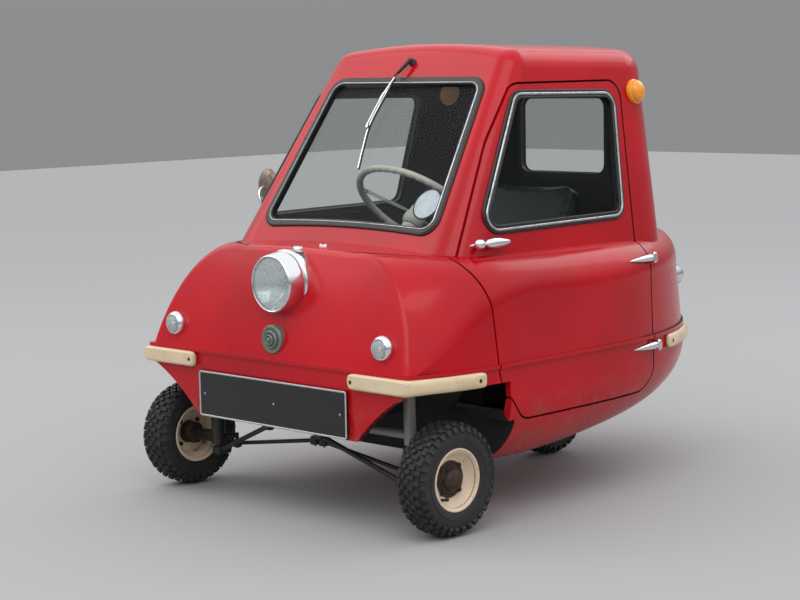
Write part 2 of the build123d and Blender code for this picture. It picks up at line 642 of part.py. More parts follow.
def build_door_fittings(door_outer):
    y, z = HANDLE
    place = side_plane()
    s = (z - SIDE_Z) * math.hypot(1, SIDE_LEAN)
    at = lambda yy, lift: place.origin + place.x_dir * yy + place.y_dir * s + place.z_dir * lift
    middle, front, tip = (tuple(at(y + back, LEVER_LIFT)) for back in (0, LEVER_FRONT, LEVER_TIP))
    boss = rod(tuple(at(y, -BODY_WALL / 2)), middle, BOSS_STEM_R) + Pos(*middle) * Sphere(BOSS_R)
    lever = rod(middle, front, LEVER_TIP_R) + taper(front, tip, LEVER_FRONT_R - FIT, LEVER_TIP_R - FIT)
    lever = lever + Pos(*front) * Sphere(LEVER_FRONT_R) + Pos(*tip) * Sphere(LEVER_TIP_R)
    handle = boss + lever - door_outer
    node("door_handle", handle)
    axis_low, axis_high = Vector(*HINGE_LOW), Vector(*HINGE_HIGH)
    axis = (axis_high - axis_low).normalized()
    leaves, pins = None, None
    for point in (axis_low, axis_high):
        barrel = rod(tuple(point - axis * 8), tuple(point + axis * 8), HINGE_R)
        strap = taper(tuple(point), tuple(point + Vector(*HINGE_REACH)), HINGE_R - 0.4, 2.5)
        bore = rod(tuple(point - axis * 30), tuple(point + axis * 30), PIN_R + FIT)
        for share in HINGE_BOLTS:
            spot = point + Vector(*HINGE_REACH) * share
            strap = strap + rod(tuple(spot), (spot.X - HINGE_BOLT_LONG, spot.Y, spot.Z), HINGE_BOLT_R)
        leaf = barrel + strap - bore
        leaves = leaf if leaves is None else leaves + leaf
        pin = rod(tuple(point - axis * 22), tuple(point + axis * 22), PIN_R)
        for sign in (-1, 1):
            a, b = point + axis * (sign * 11), point + axis * (sign * 21)
            pin = pin + rod(tuple(a), tuple(b), HINGE_R)
            block = slab(point.X - 60, point.X + HINGE_R - 1, point.Y + 6, point.Y + 26,
                         min(a.Z, b.Z), max(a.Z, b.Z))
            ear = slab(point.X - 3, point.X + HINGE_R - 1, point.Y, point.Y + 10, min(a.Z, b.Z), max(a.Z, b.Z))
            pin = pin + block + ear
        pins = pin if pins is None else pins + pin
    node("hinge_straps", leaves - door_outer)
    node("hinge_brackets", pins - door_outer)


def build_front_suspension():
    beam = slab(-BEAM_HALF, BEAM_HALF, -642, -612, 200, UNDER_TOP)
    rail = slab(BEAM_HALF - 40, BEAM_HALF, -612, -534, 200, UNDER_TOP)
    node("front_crossbeam", beam + both_sides(rail))
    arm = rod((BEAM_HALF, FRONT_AXLE_Y, 212), (KINGPIN_X, FRONT_AXLE_Y, 212), 11)
    tube = rod((KINGPIN_X, FRONT_AXLE_Y, STRUT_FOOT), (KINGPIN_X, FRONT_AXLE_Y, BAY_TOP), STRUT_R)
    bore = rod((KINGPIN_X, FRONT_AXLE_Y, 100), (KINGPIN_X, FRONT_AXLE_Y, BAY_TOP - 8), PIVOT_R + FIT)
    node("front_struts", both_sides((arm + tube) - bore))
    eye_z = LOWER_EYE_Z
    eye = rod((KINGPIN_X, FRONT_AXLE_Y, eye_z - 8), (KINGPIN_X, FRONT_AXLE_Y, eye_z + 8), 15)
    link = rod((BEAM_HALF - 60, -603, 190), (KINGPIN_X, FRONT_AXLE_Y, eye_z - 4), 6)
    tab = slab(BEAM_HALF - 72, BEAM_HALF - 48, -612, -596, 182, 216)
    bore = rod((KINGPIN_X, FRONT_AXLE_Y, 60), (KINGPIN_X, FRONT_AXLE_Y, 140), PIVOT_R + FIT)
    node("radius_rods", both_sides((eye + link + tab) - bore))


def knuckle():
    """Left knuckle: kingpin, stub axle and steering arm, turning about the kingpin."""
    x, y = KINGPIN_X, FRONT_AXLE_Y
    pin = rod((x, y, LOWER_EYE_Z - 14), (x, y, BAY_TOP - 14), PIVOT_R)
    body = rod((x, y, LOWER_EYE_Z + 16), (x, y, STRUT_FOOT - 5), 17)
    stub = rod((x, y, WHEEL_R), (TRACK_HALF + 14, y, WHEEL_R), STUB_R)
    shoulder = rod((x, y, WHEEL_R), (TRACK_HALF - 30, y, WHEEL_R), 15)
    arm_root, eye = (x, y, ARM_Z + 20), (x - ARM_IN, y + ARM_BACK, ARM_Z + 20)
    arm = rod(arm_root, eye, 7)
    stud = rod((eye[0], eye[1], ARM_Z - 12), (eye[0], eye[1], ARM_Z + 26), PIN_R + 1)
    return pin + body + stub + shoulder + arm + stud


def build_steering():
    left = knuckle()
    node("knuckle_left", left)
    node("knuckle_right", mirror(left, about=Plane.YZ))
    eye = (KINGPIN_X - ARM_IN, FRONT_AXLE_Y + ARM_BACK, ARM_Z)
    ball = drop_ball()
    for name, sign in (("tie_rod_left", 1), ("tie_rod_right", -1)):
        outer_eye = (sign * eye[0], eye[1], eye[2])
        inner_eye = (sign * BALL_X, ball[1], ball[2])
        tie = rod(outer_eye, inner_eye, 5)
        for point, radius in ((outer_eye, OUTER_EYE_R), (inner_eye, INNER_EYE_R)):
            tie = tie + rod((point[0], point[1], point[2] - 9), (point[0], point[1], point[2] + 9), radius)
        tie = tie - rod((outer_eye[0], outer_eye[1], outer_eye[2] - 40),
                        (outer_eye[0], outer_eye[1], outer_eye[2] + 40), PIN_R + 1 + FIT)
        tie = tie - rod((inner_eye[0], inner_eye[1], inner_eye[2] - 40),
                        (inner_eye[0], inner_eye[1], inner_eye[2] + 40), PIN_R + BALL_PLAY)
        node(name, tie)
    foot, top = (0, *COLUMN_FOOT), (0, *WHEEL_POINT)
    along = (Vector(*top) - Vector(*foot)).normalized()
    back = Vector(0, along.Z, -along.Y)
    low = Vector(*foot) - along * 8
    column = rod(tuple(low), tuple(Vector(*top) - along * 40), COLUMN_R)
    tip = Vector(*foot) + back * (DROP_ARM - 8)
    column = column + rod(tuple(Vector(*foot)), tuple(tip), 7)
    cross = rod((-BALL_X - 2, tip.Y, tip.Z), (BALL_X + 2, tip.Y, tip.Z), 6)
    column = column + cross
    for x in (-BALL_X, BALL_X):
        column = column + rod((x, tip.Y, tip.Z), (x, ball[1] + PIN_R, tip.Z), PIN_R + 1)
        column = column + rod((x, ball[1], tip.Z), (x, ball[1], ball[2] - 14), PIN_R)
    node("steering_column", column)
    place = Plane(origin=top, x_dir=(1, 0, 0), z_dir=tuple(along))
    ring = place * Torus(STEER_RIM_R, STEER_TUBE_R)
    hub = extrude(place.offset(-40) * Circle(HUB_R), amount=50)
    spokes = None
    for angle in (0, 120, 240):
        direction = place.x_dir * math.cos(math.radians(angle + 90)) + place.y_dir * math.sin(math.radians(angle + 90))
        spoke = rod(tuple(place.origin - along * 15), tuple(place.origin + direction * STEER_RIM_R), 3)
        spokes = spoke if spokes is None else spokes + spoke
    node("steering_wheel", ring + hub + spokes)


def drop_ball():
    """Where the two tie rods meet the drop arm."""
    sin, cos = math.sin(COLUMN_TILT), math.cos(COLUMN_TILT)
    return (0.0, COLUMN_FOOT[0] + DROP_ARM * cos, COLUMN_FOOT[1] - DROP_ARM * sin - 14)


def build_wheels():
    wheel_tyre, wheel_rim = tyre(), rim() + hub_cap()
    for name, x, y, flip in (("front_left", TRACK_HALF, FRONT_AXLE_Y, False),
                             ("front_right", TRACK_HALF, FRONT_AXLE_Y, True), ("rear", 0, REAR_AXLE_Y, False)):
        place = Pos(x, y, WHEEL_R)
        rubber, metal = place * wheel_tyre, place * (wheel_rim if name != "rear" else rim())
        if flip:
            rubber, metal = mirror(rubber, about=Plane.YZ), mirror(metal, about=Plane.YZ)
        node("tyre_" + name, rubber)
        node("rim_" + name, metal)


def build_rear_fork(outer):
    y, z = FORK_PIVOT
    axle = rod((-FORK_X - 6, REAR_AXLE_Y, WHEEL_R), (FORK_X + 6, REAR_AXLE_Y, WHEEL_R), STUB_R)
    arm = rod((FORK_X, y, z), (FORK_X, REAR_AXLE_Y, WHEEL_R), 7)
    tube = rod((-FORK_X - 8, y, z), (FORK_X + 8, y, z), 9)
    lug = slab(FORK_X - 8, FORK_X + 8, y - 12, y + 12, z, z + 60)
    node("rear_fork", (axle + both_sides(arm) + tube + both_sides(lug)) - outer)


def build_cabin():
    base = slab(-150, 150, SEAT_FRONT, 130, CABIN_FLOOR, SEAT_Z)
    node("seat_base", base)
    cushion = slab(-165, 165, SEAT_FRONT - 10, 150, SEAT_Z, SEAT_Z + 70)
    node("seat_cushion", fillet(cushion.edges(), 18))
    tall = 330.0
    place = Plane(origin=(0, 160, SEAT_Z + 76), x_dir=(1, 0, 0), z_dir=(0, -1, 0)).rotated((-22, 0, 0))
    back = extrude(place * Pos(0, tall / 2) * RectangleRounded(330, tall, 40), amount=45, both=False)
    node("seat_back", back)
    node("engine_block", slab(*ENGINE))
    pedal = None
    for x in (-85, 60, 115):
        pad = slab(x - 22, x + 22, -560, -552, 300, 350) + rod((x, -556, 252), (x, -556, 310), 5)
        pedal = pad if pedal is None else pedal + pad
    node("pedals", pedal)


if __name__ == "__main__":
    os.makedirs("parts", exist_ok=True)
    body_outer = build_body()
    build_front_lights(body_outer)
    build_bumpers(body_outer)
    build_plates(body_outer)
    build_rear_lights(body_outer)
    build_wiper()
    build_mirror(body_outer)
    build_door_fittings(body_outer)
    build_front_suspension()
    build_steering()
    build_wheels()
    build_rear_fork(body_outer)
    build_cabin()
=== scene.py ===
import json
import math
import random

import bmesh
import bpy
from mathutils import Matrix, Vector, geometry


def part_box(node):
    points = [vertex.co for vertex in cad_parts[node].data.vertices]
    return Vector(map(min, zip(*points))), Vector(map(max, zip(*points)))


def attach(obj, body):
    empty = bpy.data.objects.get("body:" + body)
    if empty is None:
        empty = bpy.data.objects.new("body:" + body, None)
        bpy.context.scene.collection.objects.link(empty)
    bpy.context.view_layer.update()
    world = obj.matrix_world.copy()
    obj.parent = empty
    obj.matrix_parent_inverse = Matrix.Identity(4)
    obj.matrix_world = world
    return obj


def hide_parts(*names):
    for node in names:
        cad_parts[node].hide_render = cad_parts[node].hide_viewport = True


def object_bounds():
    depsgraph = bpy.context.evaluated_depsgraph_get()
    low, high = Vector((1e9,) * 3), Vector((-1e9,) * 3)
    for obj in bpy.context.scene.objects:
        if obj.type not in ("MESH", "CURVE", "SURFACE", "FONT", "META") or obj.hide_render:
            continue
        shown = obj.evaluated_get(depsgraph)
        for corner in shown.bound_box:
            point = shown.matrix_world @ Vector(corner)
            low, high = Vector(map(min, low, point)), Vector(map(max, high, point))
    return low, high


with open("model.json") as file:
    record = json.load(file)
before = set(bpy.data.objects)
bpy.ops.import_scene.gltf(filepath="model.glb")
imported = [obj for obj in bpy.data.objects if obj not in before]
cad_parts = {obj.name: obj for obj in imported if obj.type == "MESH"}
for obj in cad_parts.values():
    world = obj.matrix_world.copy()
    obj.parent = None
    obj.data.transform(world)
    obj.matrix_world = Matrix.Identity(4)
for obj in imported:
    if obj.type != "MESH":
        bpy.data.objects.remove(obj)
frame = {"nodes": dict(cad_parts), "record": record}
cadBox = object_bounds()
nodes = frame["nodes"]
print("stage: frame loaded,", len(nodes), "nodes")


class Val:
    # one socket's output, so that sums can be written as Python
    def __init__(self, mat, socket):
        self.mat, self.socket = mat, socket

    def math(self, operation, other=0.0, first=None):
        return self.mat.add(
            "ShaderNodeMath", {"operation": operation},
            {0: self if first is None else first, 1: other if first is None else self}
        )

    def __add__(self, other):
        return self.math("ADD", other)

    def __sub__(self, other):
        return self.math("SUBTRACT", other)

    def __rsub__(self, other):
        return self.math("SUBTRACT", first=other)

    def __mul__(self, other):
        return self.math("MULTIPLY", other)

    def __truediv__(self, other):
        return self.math("DIVIDE", other)

    def __gt__(self, other):
        return self.math("GREATER_THAN", other)

    def __lt__(self, other):
        return self.math("LESS_THAN", other)

    def __pow__(self, other):
        return self.math("POWER", other)

    def held(self):
        return self.mat.add("ShaderNodeClamp", {}, {0: self})

    __radd__ = __add__
    __rmul__ = __mul__


class Finish:
    # one material and its nodes
    def __init__(self, name):
        self.mat = bpy.data.materials.new(name)
        self.mat.use_nodes = True
        self.tree = self.mat.node_tree
        self.tree.nodes.clear()
        self.end = self.tree.nodes.new("ShaderNodeOutputMaterial")
        self.place = None

    def add(self, kind, settings=None, values=None, out=0):
        node = self.tree.nodes.new(kind)
        for key, value in (settings or {}).items():
            if key == "stops":
                ramp = node.color_ramp
                while len(ramp.elements) < len(value):
                    ramp.elements.new(0.5)
                for element, (where, colour) in zip(ramp.elements, value):
                    element.position, element.color = where, tuple(colour) + (1,) * (4 - len(colour))
            else:
                setattr(node, key, value)
        for key, value in (values or {}).items():
            socket = node.inputs[key]
            if isinstance(value, Val):
                self.tree.links.new(value.socket, socket)
            elif isinstance(value, (tuple, list)) and socket.type == "RGBA" and len(value) == 3:
                socket.default_value = tuple(value) + (1,)
            else:
                socket.default_value = value
        return Val(self, node.outputs[out])

    def where(self):
        if self.place is None:
            self.place = self.add("ShaderNodeTexCoord", out="Object")
        return self.place

    def stretch(self, scale=(1, 1, 1), turn=(0, 0, 0), shift=(0, 0, 0)):
        return self.add(
            "ShaderNodeMapping", {},
            {"Vector": self.where(), "Scale": scale, "Rotation": turn, "Location": shift}
        )

    def noise(self, scale, detail=3, rough=0.5, at=None):
        return self.add(
            "ShaderNodeTexNoise", {},
            {"Vector": at or self.where(), "Scale": scale, "Detail": detail, "Roughness": rough}
        )

    def cells(self, scale, feature="F1", at=None):
        return self.add(
            "ShaderNodeTexVoronoi", {"feature": feature}, {"Vector": at or self.where(), "Scale": scale}
        )

    def ramp(self, value, low, high):
        return self.add("ShaderNodeMapRange", {"interpolation_type": "SMOOTHSTEP"}, {0: value, 1: low, 2: high})

    def axis(self, name):
        return self.add("ShaderNodeSeparateXYZ", {}, {0: self.where()}, out=name)

    def blend(self, share, one, two):
        return self.add("ShaderNodeMix", {"data_type": "RGBA"}, {0: share, 6: one, 7: two}, out=2)

    def bump(self, height, strength, distance, under=None):
        values = {"Height": height, "Strength": strength, "Distance": distance}
        if under is not None:
            values["Normal"] = under
        return self.add("ShaderNodeBump", {}, values)

    def skin(self, **values):
        self.named = {key.replace("_", " "): value for key, value in values.items()}
        shader = self.add("ShaderNodeBsdfPrincipled", {}, self.named)
        self.show(shader)
        return shader

    def show(self, shader):
        self.tree.links.new(shader.socket, self.end.inputs["Surface"])


finishes = {}


def finish(name):
    # makes each material once, by its own function
    if name not in finishes:
        m = Finish(name)
        finishMakers[name](m)
        finishes[name] = m.mat
    return finishes[name]


paint = {
    "red": (0.56, 0.0015, 0.01),
    "deepRed": (0.42, 0.001, 0.007),
    "dust": (0.2, 0.12, 0.09),
    "orangePeel": 0.04,
}


def redGloss(m):
    cloud = m.noise(2.2, 4)
    base = m.blend(m.ramp(cloud, 0.35, 0.7), paint["deepRed"], paint["red"])
    low = 1 - m.ramp(m.axis("Z"), 0.17, 0.33)
    grime = (low * m.ramp(m.noise(24, 8, 0.65), 0.42, 0.72) * 0.55).held()
    chips = m.ramp(m.noise(190, 3, 0.6), 0.71, 0.735) * low
    colour = m.blend(grime, base, paint["dust"])
    colour = m.blend(chips.held(), colour, (0.42, 0.36, 0.32))
    wave = m.noise(7, 2, 0.4)
    peel = m.noise(420, 2, 0.5)
    normal = m.bump(peel, paint["orangePeel"], 0.0004, m.bump(wave, 0.25, 0.003))
    smear = m.noise(16, 6, 0.6)
    m.skin(
        Base_Color=colour, Roughness=(0.15 + smear * 0.12 + grime * 0.5), Specular_IOR_Level=0.24,
        Normal=normal, Coat_Weight=0.12, Coat_Roughness=0.06
    )


def blackRubber(m):
    dust = m.ramp(m.noise(60, 5), 0.5, 0.8)
    colour = m.blend(dust * 0.35, (0.012, 0.012, 0.013), (0.06, 0.058, 0.055))
    m.skin(Base_Color=colour, Roughness=0.38 + dust * 0.25, Normal=m.bump(m.noise(500, 2), 0.12, 0.0004))


def clearPane(m):
    smear = m.ramp(m.noise(9, 6, 0.7), 0.45, 0.85)
    shine = m.add(
        "ShaderNodeBsdfPrincipled", {},
        {"Base Color": (0.05, 0.055, 0.055), "Roughness": smear * 0.05 + 0.03, "Metallic": 0.0, "IOR": 1.8}
    )
    through = m.add("ShaderNodeBsdfTransparent", {}, {"Color": (0.96, 0.972, 0.968)})
    facing = m.add("ShaderNodeLayerWeight", {}, {"Blend": 0.5}, out="Facing")
    m.show(
        m.add(
            "ShaderNodeMixShader", {},
            {0: (facing ** 4.0 * 0.6 + smear * 0.03 + 0.03).held(), 1: through, 2: shine}
        )
    )


def chromeTrim(m):
    pits = m.ramp(m.noise(320, 4, 0.6), 0.66, 0.74)
    haze = m.noise(40, 5, 0.6)
    colour = m.blend((pits * 0.7).held(), (0.78, 0.78, 0.8), (0.3, 0.22, 0.17))
    m.skin(
        Base_Color=colour, Metallic=1.0 - pits * 0.5, Roughness=0.07 + haze * 0.12 + pits * 0.4,
        Normal=m.bump(m.noise(90, 3), 0.05, 0.0006)
    )


def mirrorBowl(m):
    m.skin(
        Base_Color=m.blend(m.noise(50, 4) * 0.3, (0.86, 0.87, 0.88), (0.6, 0.62, 0.62)), Metallic=1.0,
        Roughness=0.1 + m.noise(30, 3) * 0.1
    )


def lampGlass(m):
    pebble = m.cells(260)
    shine = m.add(
        "ShaderNodeBsdfPrincipled", {},
        {
            "Base Color": (0.62, 0.66, 0.66), "Roughness": 0.08 + pebble * 0.2, "IOR": 1.5,
            "Normal": m.bump(pebble, 0.5, 0.0012)
        }
    )
    through = m.add("ShaderNodeBsdfTransparent", {}, {"Color": (0.93, 0.96, 0.96)})
    share = m.add("ShaderNodeLayerWeight", {}, {"Blend": 0.5}, out="Facing") ** 3.0 * 0.5 + pebble * 0.35 + 0.1
    m.show(m.add("ShaderNodeMixShader", {}, {0: share.held(), 1: through, 2: shine}))


def agedIvory(m):
    stain = m.ramp(m.noise(14, 6, 0.65), 0.42, 0.75)
    streak = m.ramp(m.noise(5, 4, 0.6, m.stretch((1, 1, 7))), 0.5, 0.8)
    craze = 1 - m.ramp(m.cells(46, "DISTANCE_TO_EDGE", m.stretch((1, 0.45, 2.2))), 0.0, 0.035)
    craze = craze * m.ramp(m.noise(11, 3), 0.53, 0.66)
    colour = m.blend(stain * 0.7, (0.74, 0.6, 0.4), (0.6, 0.42, 0.21))
    colour = m.blend(streak * 0.35, colour, (0.8, 0.7, 0.53))
    colour = m.blend((craze * 0.65).held(), colour, (0.16, 0.09, 0.045))
    m.skin(
        Base_Color=colour, Roughness=0.3 + stain * 0.2,
        Normal=m.bump(craze, -0.3, 0.0008, m.bump(m.noise(60, 4), 0.12, 0.001)), Coat_Weight=0.12
    )


# painted shade: mottled brown-black for the inside of holes and the hub well
def paintedHoleShade(m):
    m.skin(Base_Color=m.blend(m.noise(300, 3), (0.012, 0.01, 0.009), (0.05, 0.03, 0.02)), Roughness=0.7)


def plateBlack(m):
    speck = m.ramp(m.noise(700, 3), 0.68, 0.8)
    m.skin(
        Base_Color=m.blend(speck * 0.5, (0.008, 0.008, 0.01), (0.1, 0.1, 0.1)),
        Roughness=0.22 + m.noise(25, 5) * 0.12, Normal=m.bump(m.noise(200, 3), 0.05, 0.0004)
    )


def plateSilver(m):
    m.skin(
        Base_Color=m.blend(m.noise(90, 4), (0.42, 0.43, 0.44), (0.58, 0.59, 0.6)), Metallic=0.55,
        Roughness=0.34 + m.noise(60, 3) * 0.15
    )


def redLens(m):
    ring = m.noise(150, 2)
    m.skin(
        Base_Color=m.blend(ring, (0.42, 0.004, 0.004), (0.6, 0.012, 0.008)), Roughness=0.1 + ring * 0.08,
        Coat_Weight=0.5, Normal=m.bump(m.cells(260), 0.3, 0.0008)
    )


def amberLens(m):
    ring = m.noise(150, 2)
    m.skin(
        Base_Color=m.blend(ring, (0.9, 0.27, 0.008), (0.98, 0.42, 0.02)), Roughness=0.1 + ring * 0.08,
        Coat_Weight=0.5, Normal=m.bump(m.cells(260), 0.3, 0.0008)
    )


def brushedMetal(m):
    grain = m.noise(300, 3, 0.6, m.stretch((1, 1, 0.08)))
    m.skin(
        Base_Color=m.blend(grain, (0.3, 0.31, 0.32), (0.52, 0.53, 0.54)), Metallic=1.0,
        Roughness=0.24 + grain * 0.2
    )


def blackSteel(m):
    rust = m.ramp(m.noise(45, 8, 0.7), 0.56, 0.74)
    dust = m.ramp(m.noise(12, 6, 0.6), 0.45, 0.8)
    colour = m.blend((rust * 0.45).held(), (0.013, 0.013, 0.013), (0.075, 0.038, 0.02))
    colour = m.blend((dust * 0.3).held(), colour, (0.1, 0.09, 0.08))
    m.skin(Base_Color=colour, Roughness=0.48 + rust * 0.35, Normal=m.bump(m.noise(160, 6, 0.7), 0.3, 0.0012))


def greySteel(m):
    rust = m.ramp(m.noise(35, 8, 0.7), 0.55, 0.75)
    colour = m.blend((rust * 0.6).held(), (0.27, 0.27, 0.25), (0.13, 0.075, 0.045))
    m.skin(
        Base_Color=colour, Metallic=0.25, Roughness=0.45 + rust * 0.35,
        Normal=m.bump(m.noise(140, 6, 0.7), 0.25, 0.001)
    )


def offWhiteGrip(m):
    wear = m.ramp(m.noise(22, 6, 0.65), 0.5, 0.8)
    m.skin(
        Base_Color=m.blend(wear * 0.7, (0.58, 0.57, 0.51), (0.36, 0.34, 0.28)), Roughness=0.26 + wear * 0.25,
        Coat_Weight=0.2, Normal=m.bump(m.noise(120, 4), 0.08, 0.0008)
    )


def tyreRubber(m):
    dust = m.ramp(m.noise(28, 8, 0.7), 0.42, 0.75)
    grit = m.noise(420, 4, 0.6)
    colour = m.blend((dust * 0.55).held(), (0.016, 0.0155, 0.015), (0.07, 0.063, 0.055))
    m.skin(Base_Color=colour, Roughness=0.62 + dust * 0.28, Normal=m.bump(grit, 0.35, 0.001))


def creamRim(m):
    radial = m.noise(30, 8, 0.7)
    rust = m.ramp(radial, 0.6, 0.7)
    grime = m.ramp(m.noise(9, 5, 0.6), 0.4, 0.8)
    colour = m.blend(grime * 0.5, (0.78, 0.62, 0.46), (0.58, 0.42, 0.29))
    colour = m.blend((rust * 0.85).held(), colour, (0.13, 0.05, 0.022))
    m.skin(
        Base_Color=colour, Roughness=0.36 + rust * 0.4,
        Normal=m.bump(rust, 0.25, 0.0008, m.bump(m.noise(90, 4), 0.08, 0.0008))
    )


def rustyHub(m):
    rust = m.ramp(m.noise(70, 8, 0.7), 0.4, 0.65)
    m.skin(
        Base_Color=m.blend(rust, (0.018, 0.017, 0.017), (0.075, 0.03, 0.016)), Metallic=0.3 - rust * 0.3,
        Roughness=0.42 + rust * 0.4, Normal=m.bump(m.noise(220, 6, 0.7), 0.4, 0.001)
    )


def greenVinyl(m):
    grain = m.cells(330, "DISTANCE_TO_EDGE")
    scuff = m.ramp(m.noise(8, 6, 0.65), 0.45, 0.8)
    m.skin(
        Base_Color=m.blend(scuff * 0.6, (0.013, 0.028, 0.027), (0.034, 0.052, 0.05)),
        Roughness=0.4 + scuff * 0.15, Normal=m.bump(m.ramp(grain, 0, 0.22), 0.4, 0.0009)
    )


def darkShell(m):
    m.skin(
        Base_Color=m.blend(m.noise(30, 6), (0.016, 0.02, 0.02), (0.034, 0.038, 0.038)), Roughness=0.5,
        Normal=m.bump(m.noise(260, 4), 0.2, 0.0008)
    )


def castAlloy(m):
    oil = m.ramp(m.noise(16, 7, 0.7), 0.45, 0.75)
    m.skin(
        Base_Color=m.blend(oil * 0.8, (0.33, 0.33, 0.32), (0.09, 0.075, 0.06)), Metallic=0.7,
        Roughness=0.5 + oil * 0.2, Normal=m.bump(m.noise(350, 4, 0.6), 0.35, 0.001)
    )


def fillerGrey(m):
    grime = m.ramp(m.noise(70, 5), 0.42, 0.72)
    m.skin(
        Base_Color=m.blend(grime * 0.6, (0.5, 0.51, 0.52), (0.24, 0.24, 0.235)), Metallic=0.95,
        Roughness=0.22 + grime * 0.22
    )


# a warm brown tint on the metal, with darker, rougher brown patches
def brownTintedChrome(m):
    rust = m.ramp(m.noise(55, 8, 0.7), 0.4, 0.66)
    colour = m.blend((rust * 0.85).held(), (0.3, 0.245, 0.19), (0.105, 0.062, 0.038))
    m.skin(
        Base_Color=colour, Metallic=0.85 - rust * 0.6, Roughness=0.34 + rust * 0.35,
        Normal=m.bump(m.noise(200, 6, 0.7), 0.25, 0.0008)
    )


def paperDisc(m):
    stain = m.ramp(m.noise(60, 4), 0.4, 0.7)
    m.skin(Base_Color=m.blend(stain * 0.5, (0.66, 0.72, 0.8), (0.5, 0.54, 0.6)), Roughness=0.55)


def grilleGrey(m):
    dust = m.ramp(m.noise(45, 6, 0.6), 0.42, 0.75)
    colour = m.blend(dust * 0.6, (0.17, 0.2, 0.17), (0.26, 0.25, 0.2))
    m.skin(
        Base_Color=colour, Metallic=0.45, Roughness=0.32 + dust * 0.3,
        Normal=m.bump(m.noise(240, 4), 0.15, 0.0006)
    )


# painted shade: near-black for the shade inside the cabin and the wheel bays, with lighter dust flecks
def paintedShadeSkin(m):
    dust = m.ramp(m.noise(40, 6), 0.45, 0.8)
    m.skin(
        Base_Color=m.blend(dust * 0.5, (0.01, 0.01, 0.01), (0.03, 0.028, 0.026)), Roughness=0.7,
        Normal=m.bump(m.noise(520, 3, 0.6), 0.3, 0.0006)
    )


finishMakers = {
    maker.__name__: maker
    for maker in (
        redGloss, blackRubber, clearPane, chromeTrim, mirrorBowl, lampGlass, agedIvory, paintedHoleShade, plateBlack,
        plateSilver, redLens, amberLens, brushedMetal, blackSteel, greySteel, offWhiteGrip, tyreRubber,
        creamRim, rustyHub, greenVinyl, darkShell, castAlloy, fillerGrey, brownTintedChrome, paperDisc, paintedShadeSkin,
        grilleGrey
    )
}

slotFinish = {
    "red_shell": "redGloss", "black_rubber": "blackRubber", "clear_pane": "clearPane",
    "chrome_trim": "chromeTrim", "lamp_glass": "lampGlass", "cream_bumper": "agedIvory",
    "black_plate": "plateBlack", "red_lens": "redLens", "amber_lens": "amberLens",
    "wiper_metal": "brushedMetal", "black_steel": "blackSteel", "grey_steel": "greySteel",
    "wheel_grip": "offWhiteGrip", "tyre_rubber": "tyreRubber", "cream_rim": "creamRim",
    "dark_vinyl": "greenVinyl", "seat_shell": "darkShell", "cast_engine": "castAlloy"
}
for part in frame["record"]["subparts"]:
    node = nodes[part["node"]]
    made = finish(slotFinish[part["material_slot"]])
    if not node.material_slots:
        node.data.materials.append(made)
    for slot in node.material_slots:
        slot.material = made
print("stage: finishes on the solids")


def placeAt(origin, normal, across=(0, 0, 1)):
    # local Z along normal, local X along across as far as it can
    z = Vector(normal).normalized()
    x = (Vector(across) - z * Vector(across).dot(z)).normalized()
    return Matrix.Translation(origin) @ Matrix((x, z.cross(x), z)).transposed().to_4x4()


mirrorX = Matrix.Scale(-1, 4, (1, 0, 0))


def settle(name, bm, look, body, place=None, sharp=38, replaced=()):
    # turns a bmesh into a finished piece on its body
    if place is not None:
        bm.transform(place)
    bmesh.ops.remove_doubles(bm, verts=bm.verts, dist=1e-6)
    bmesh.ops.recalc_face_normals(bm, faces=bm.faces)
    for edge in bm.edges:
        edge.smooth = len(edge.link_faces) < 2 or edge.calc_face_angle(0) < math.radians(sharp)
    for face in bm.faces:
        face.smooth = True
    piece = linked(name, bm)
    piece.data.materials.append(finish(look))
    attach(piece, body)
    if replaced:
        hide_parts(*replaced)
    return piece


def addTurned(bm, profile, place=None, steps=48, closed=False):
    # a profile of (radius, height) spun about local Z
    kept = set(bm.verts)
    verts = [bm.verts.new((r, 0, h)) for r, h in profile]
    edges = [bm.edges.new(pair) for pair in zip(verts, verts[1:])]
    if closed:
        edges.append(bm.edges.new((verts[-1], verts[0])))
    bmesh.ops.spin(
        bm, geom=verts + edges, cent=(0, 0, 0), axis=(0, 0, 1), angle=math.tau, steps=steps, use_merge=True,
        use_duplicate=False
    )
    bmesh.ops.remove_doubles(bm, verts=[v for v in bm.verts if v not in kept], dist=1e-7)
    if place is not None:
        bmesh.ops.transform(bm, matrix=place, verts=[v for v in bm.verts if v not in kept])
    return bm


def turned(name, profile, look, body, place=None, steps=48, closed=False, **rest):
    # a piece that is one turned shape
    settle(name, addTurned(bmesh.new(), profile, steps=steps, closed=closed), look, body, place, **rest)


def addBlock(bm, size, place, taper=1.0, round=0.0):
    kept = set(bm.verts)
    made = bmesh.ops.create_cube(bm, size=1)["verts"]
    bmesh.ops.scale(bm, vec=size, verts=made)
    top = [v for v in made if v.co.z > 0]
    bmesh.ops.scale(bm, vec=(taper, taper, 1), verts=top)
    if round:
        edges = list({e for v in made for e in v.link_edges})
        bmesh.ops.bevel(bm, geom=edges, offset=round, segments=3, profile=0.5, affect="EDGES", material=-1)
    bmesh.ops.transform(bm, matrix=place, verts=[v for v in bm.verts if v not in kept])


def addBar(bm, start, end, radius, endRadius=None, sides=16):
    # a straight round bar, tapered if endRadius is given
    a, b = Vector(start), Vector(end)
    made = bmesh.ops.create_cone(
        bm, cap_ends=True, segments=sides, radius1=radius, radius2=radius if endRadius is None else endRadius,
        depth=(b - a).length
    )["verts"]
    bmesh.ops.transform(bm, matrix=placeAt((a + b) / 2, b - a, (1, 0.3, 0.2)), verts=made)


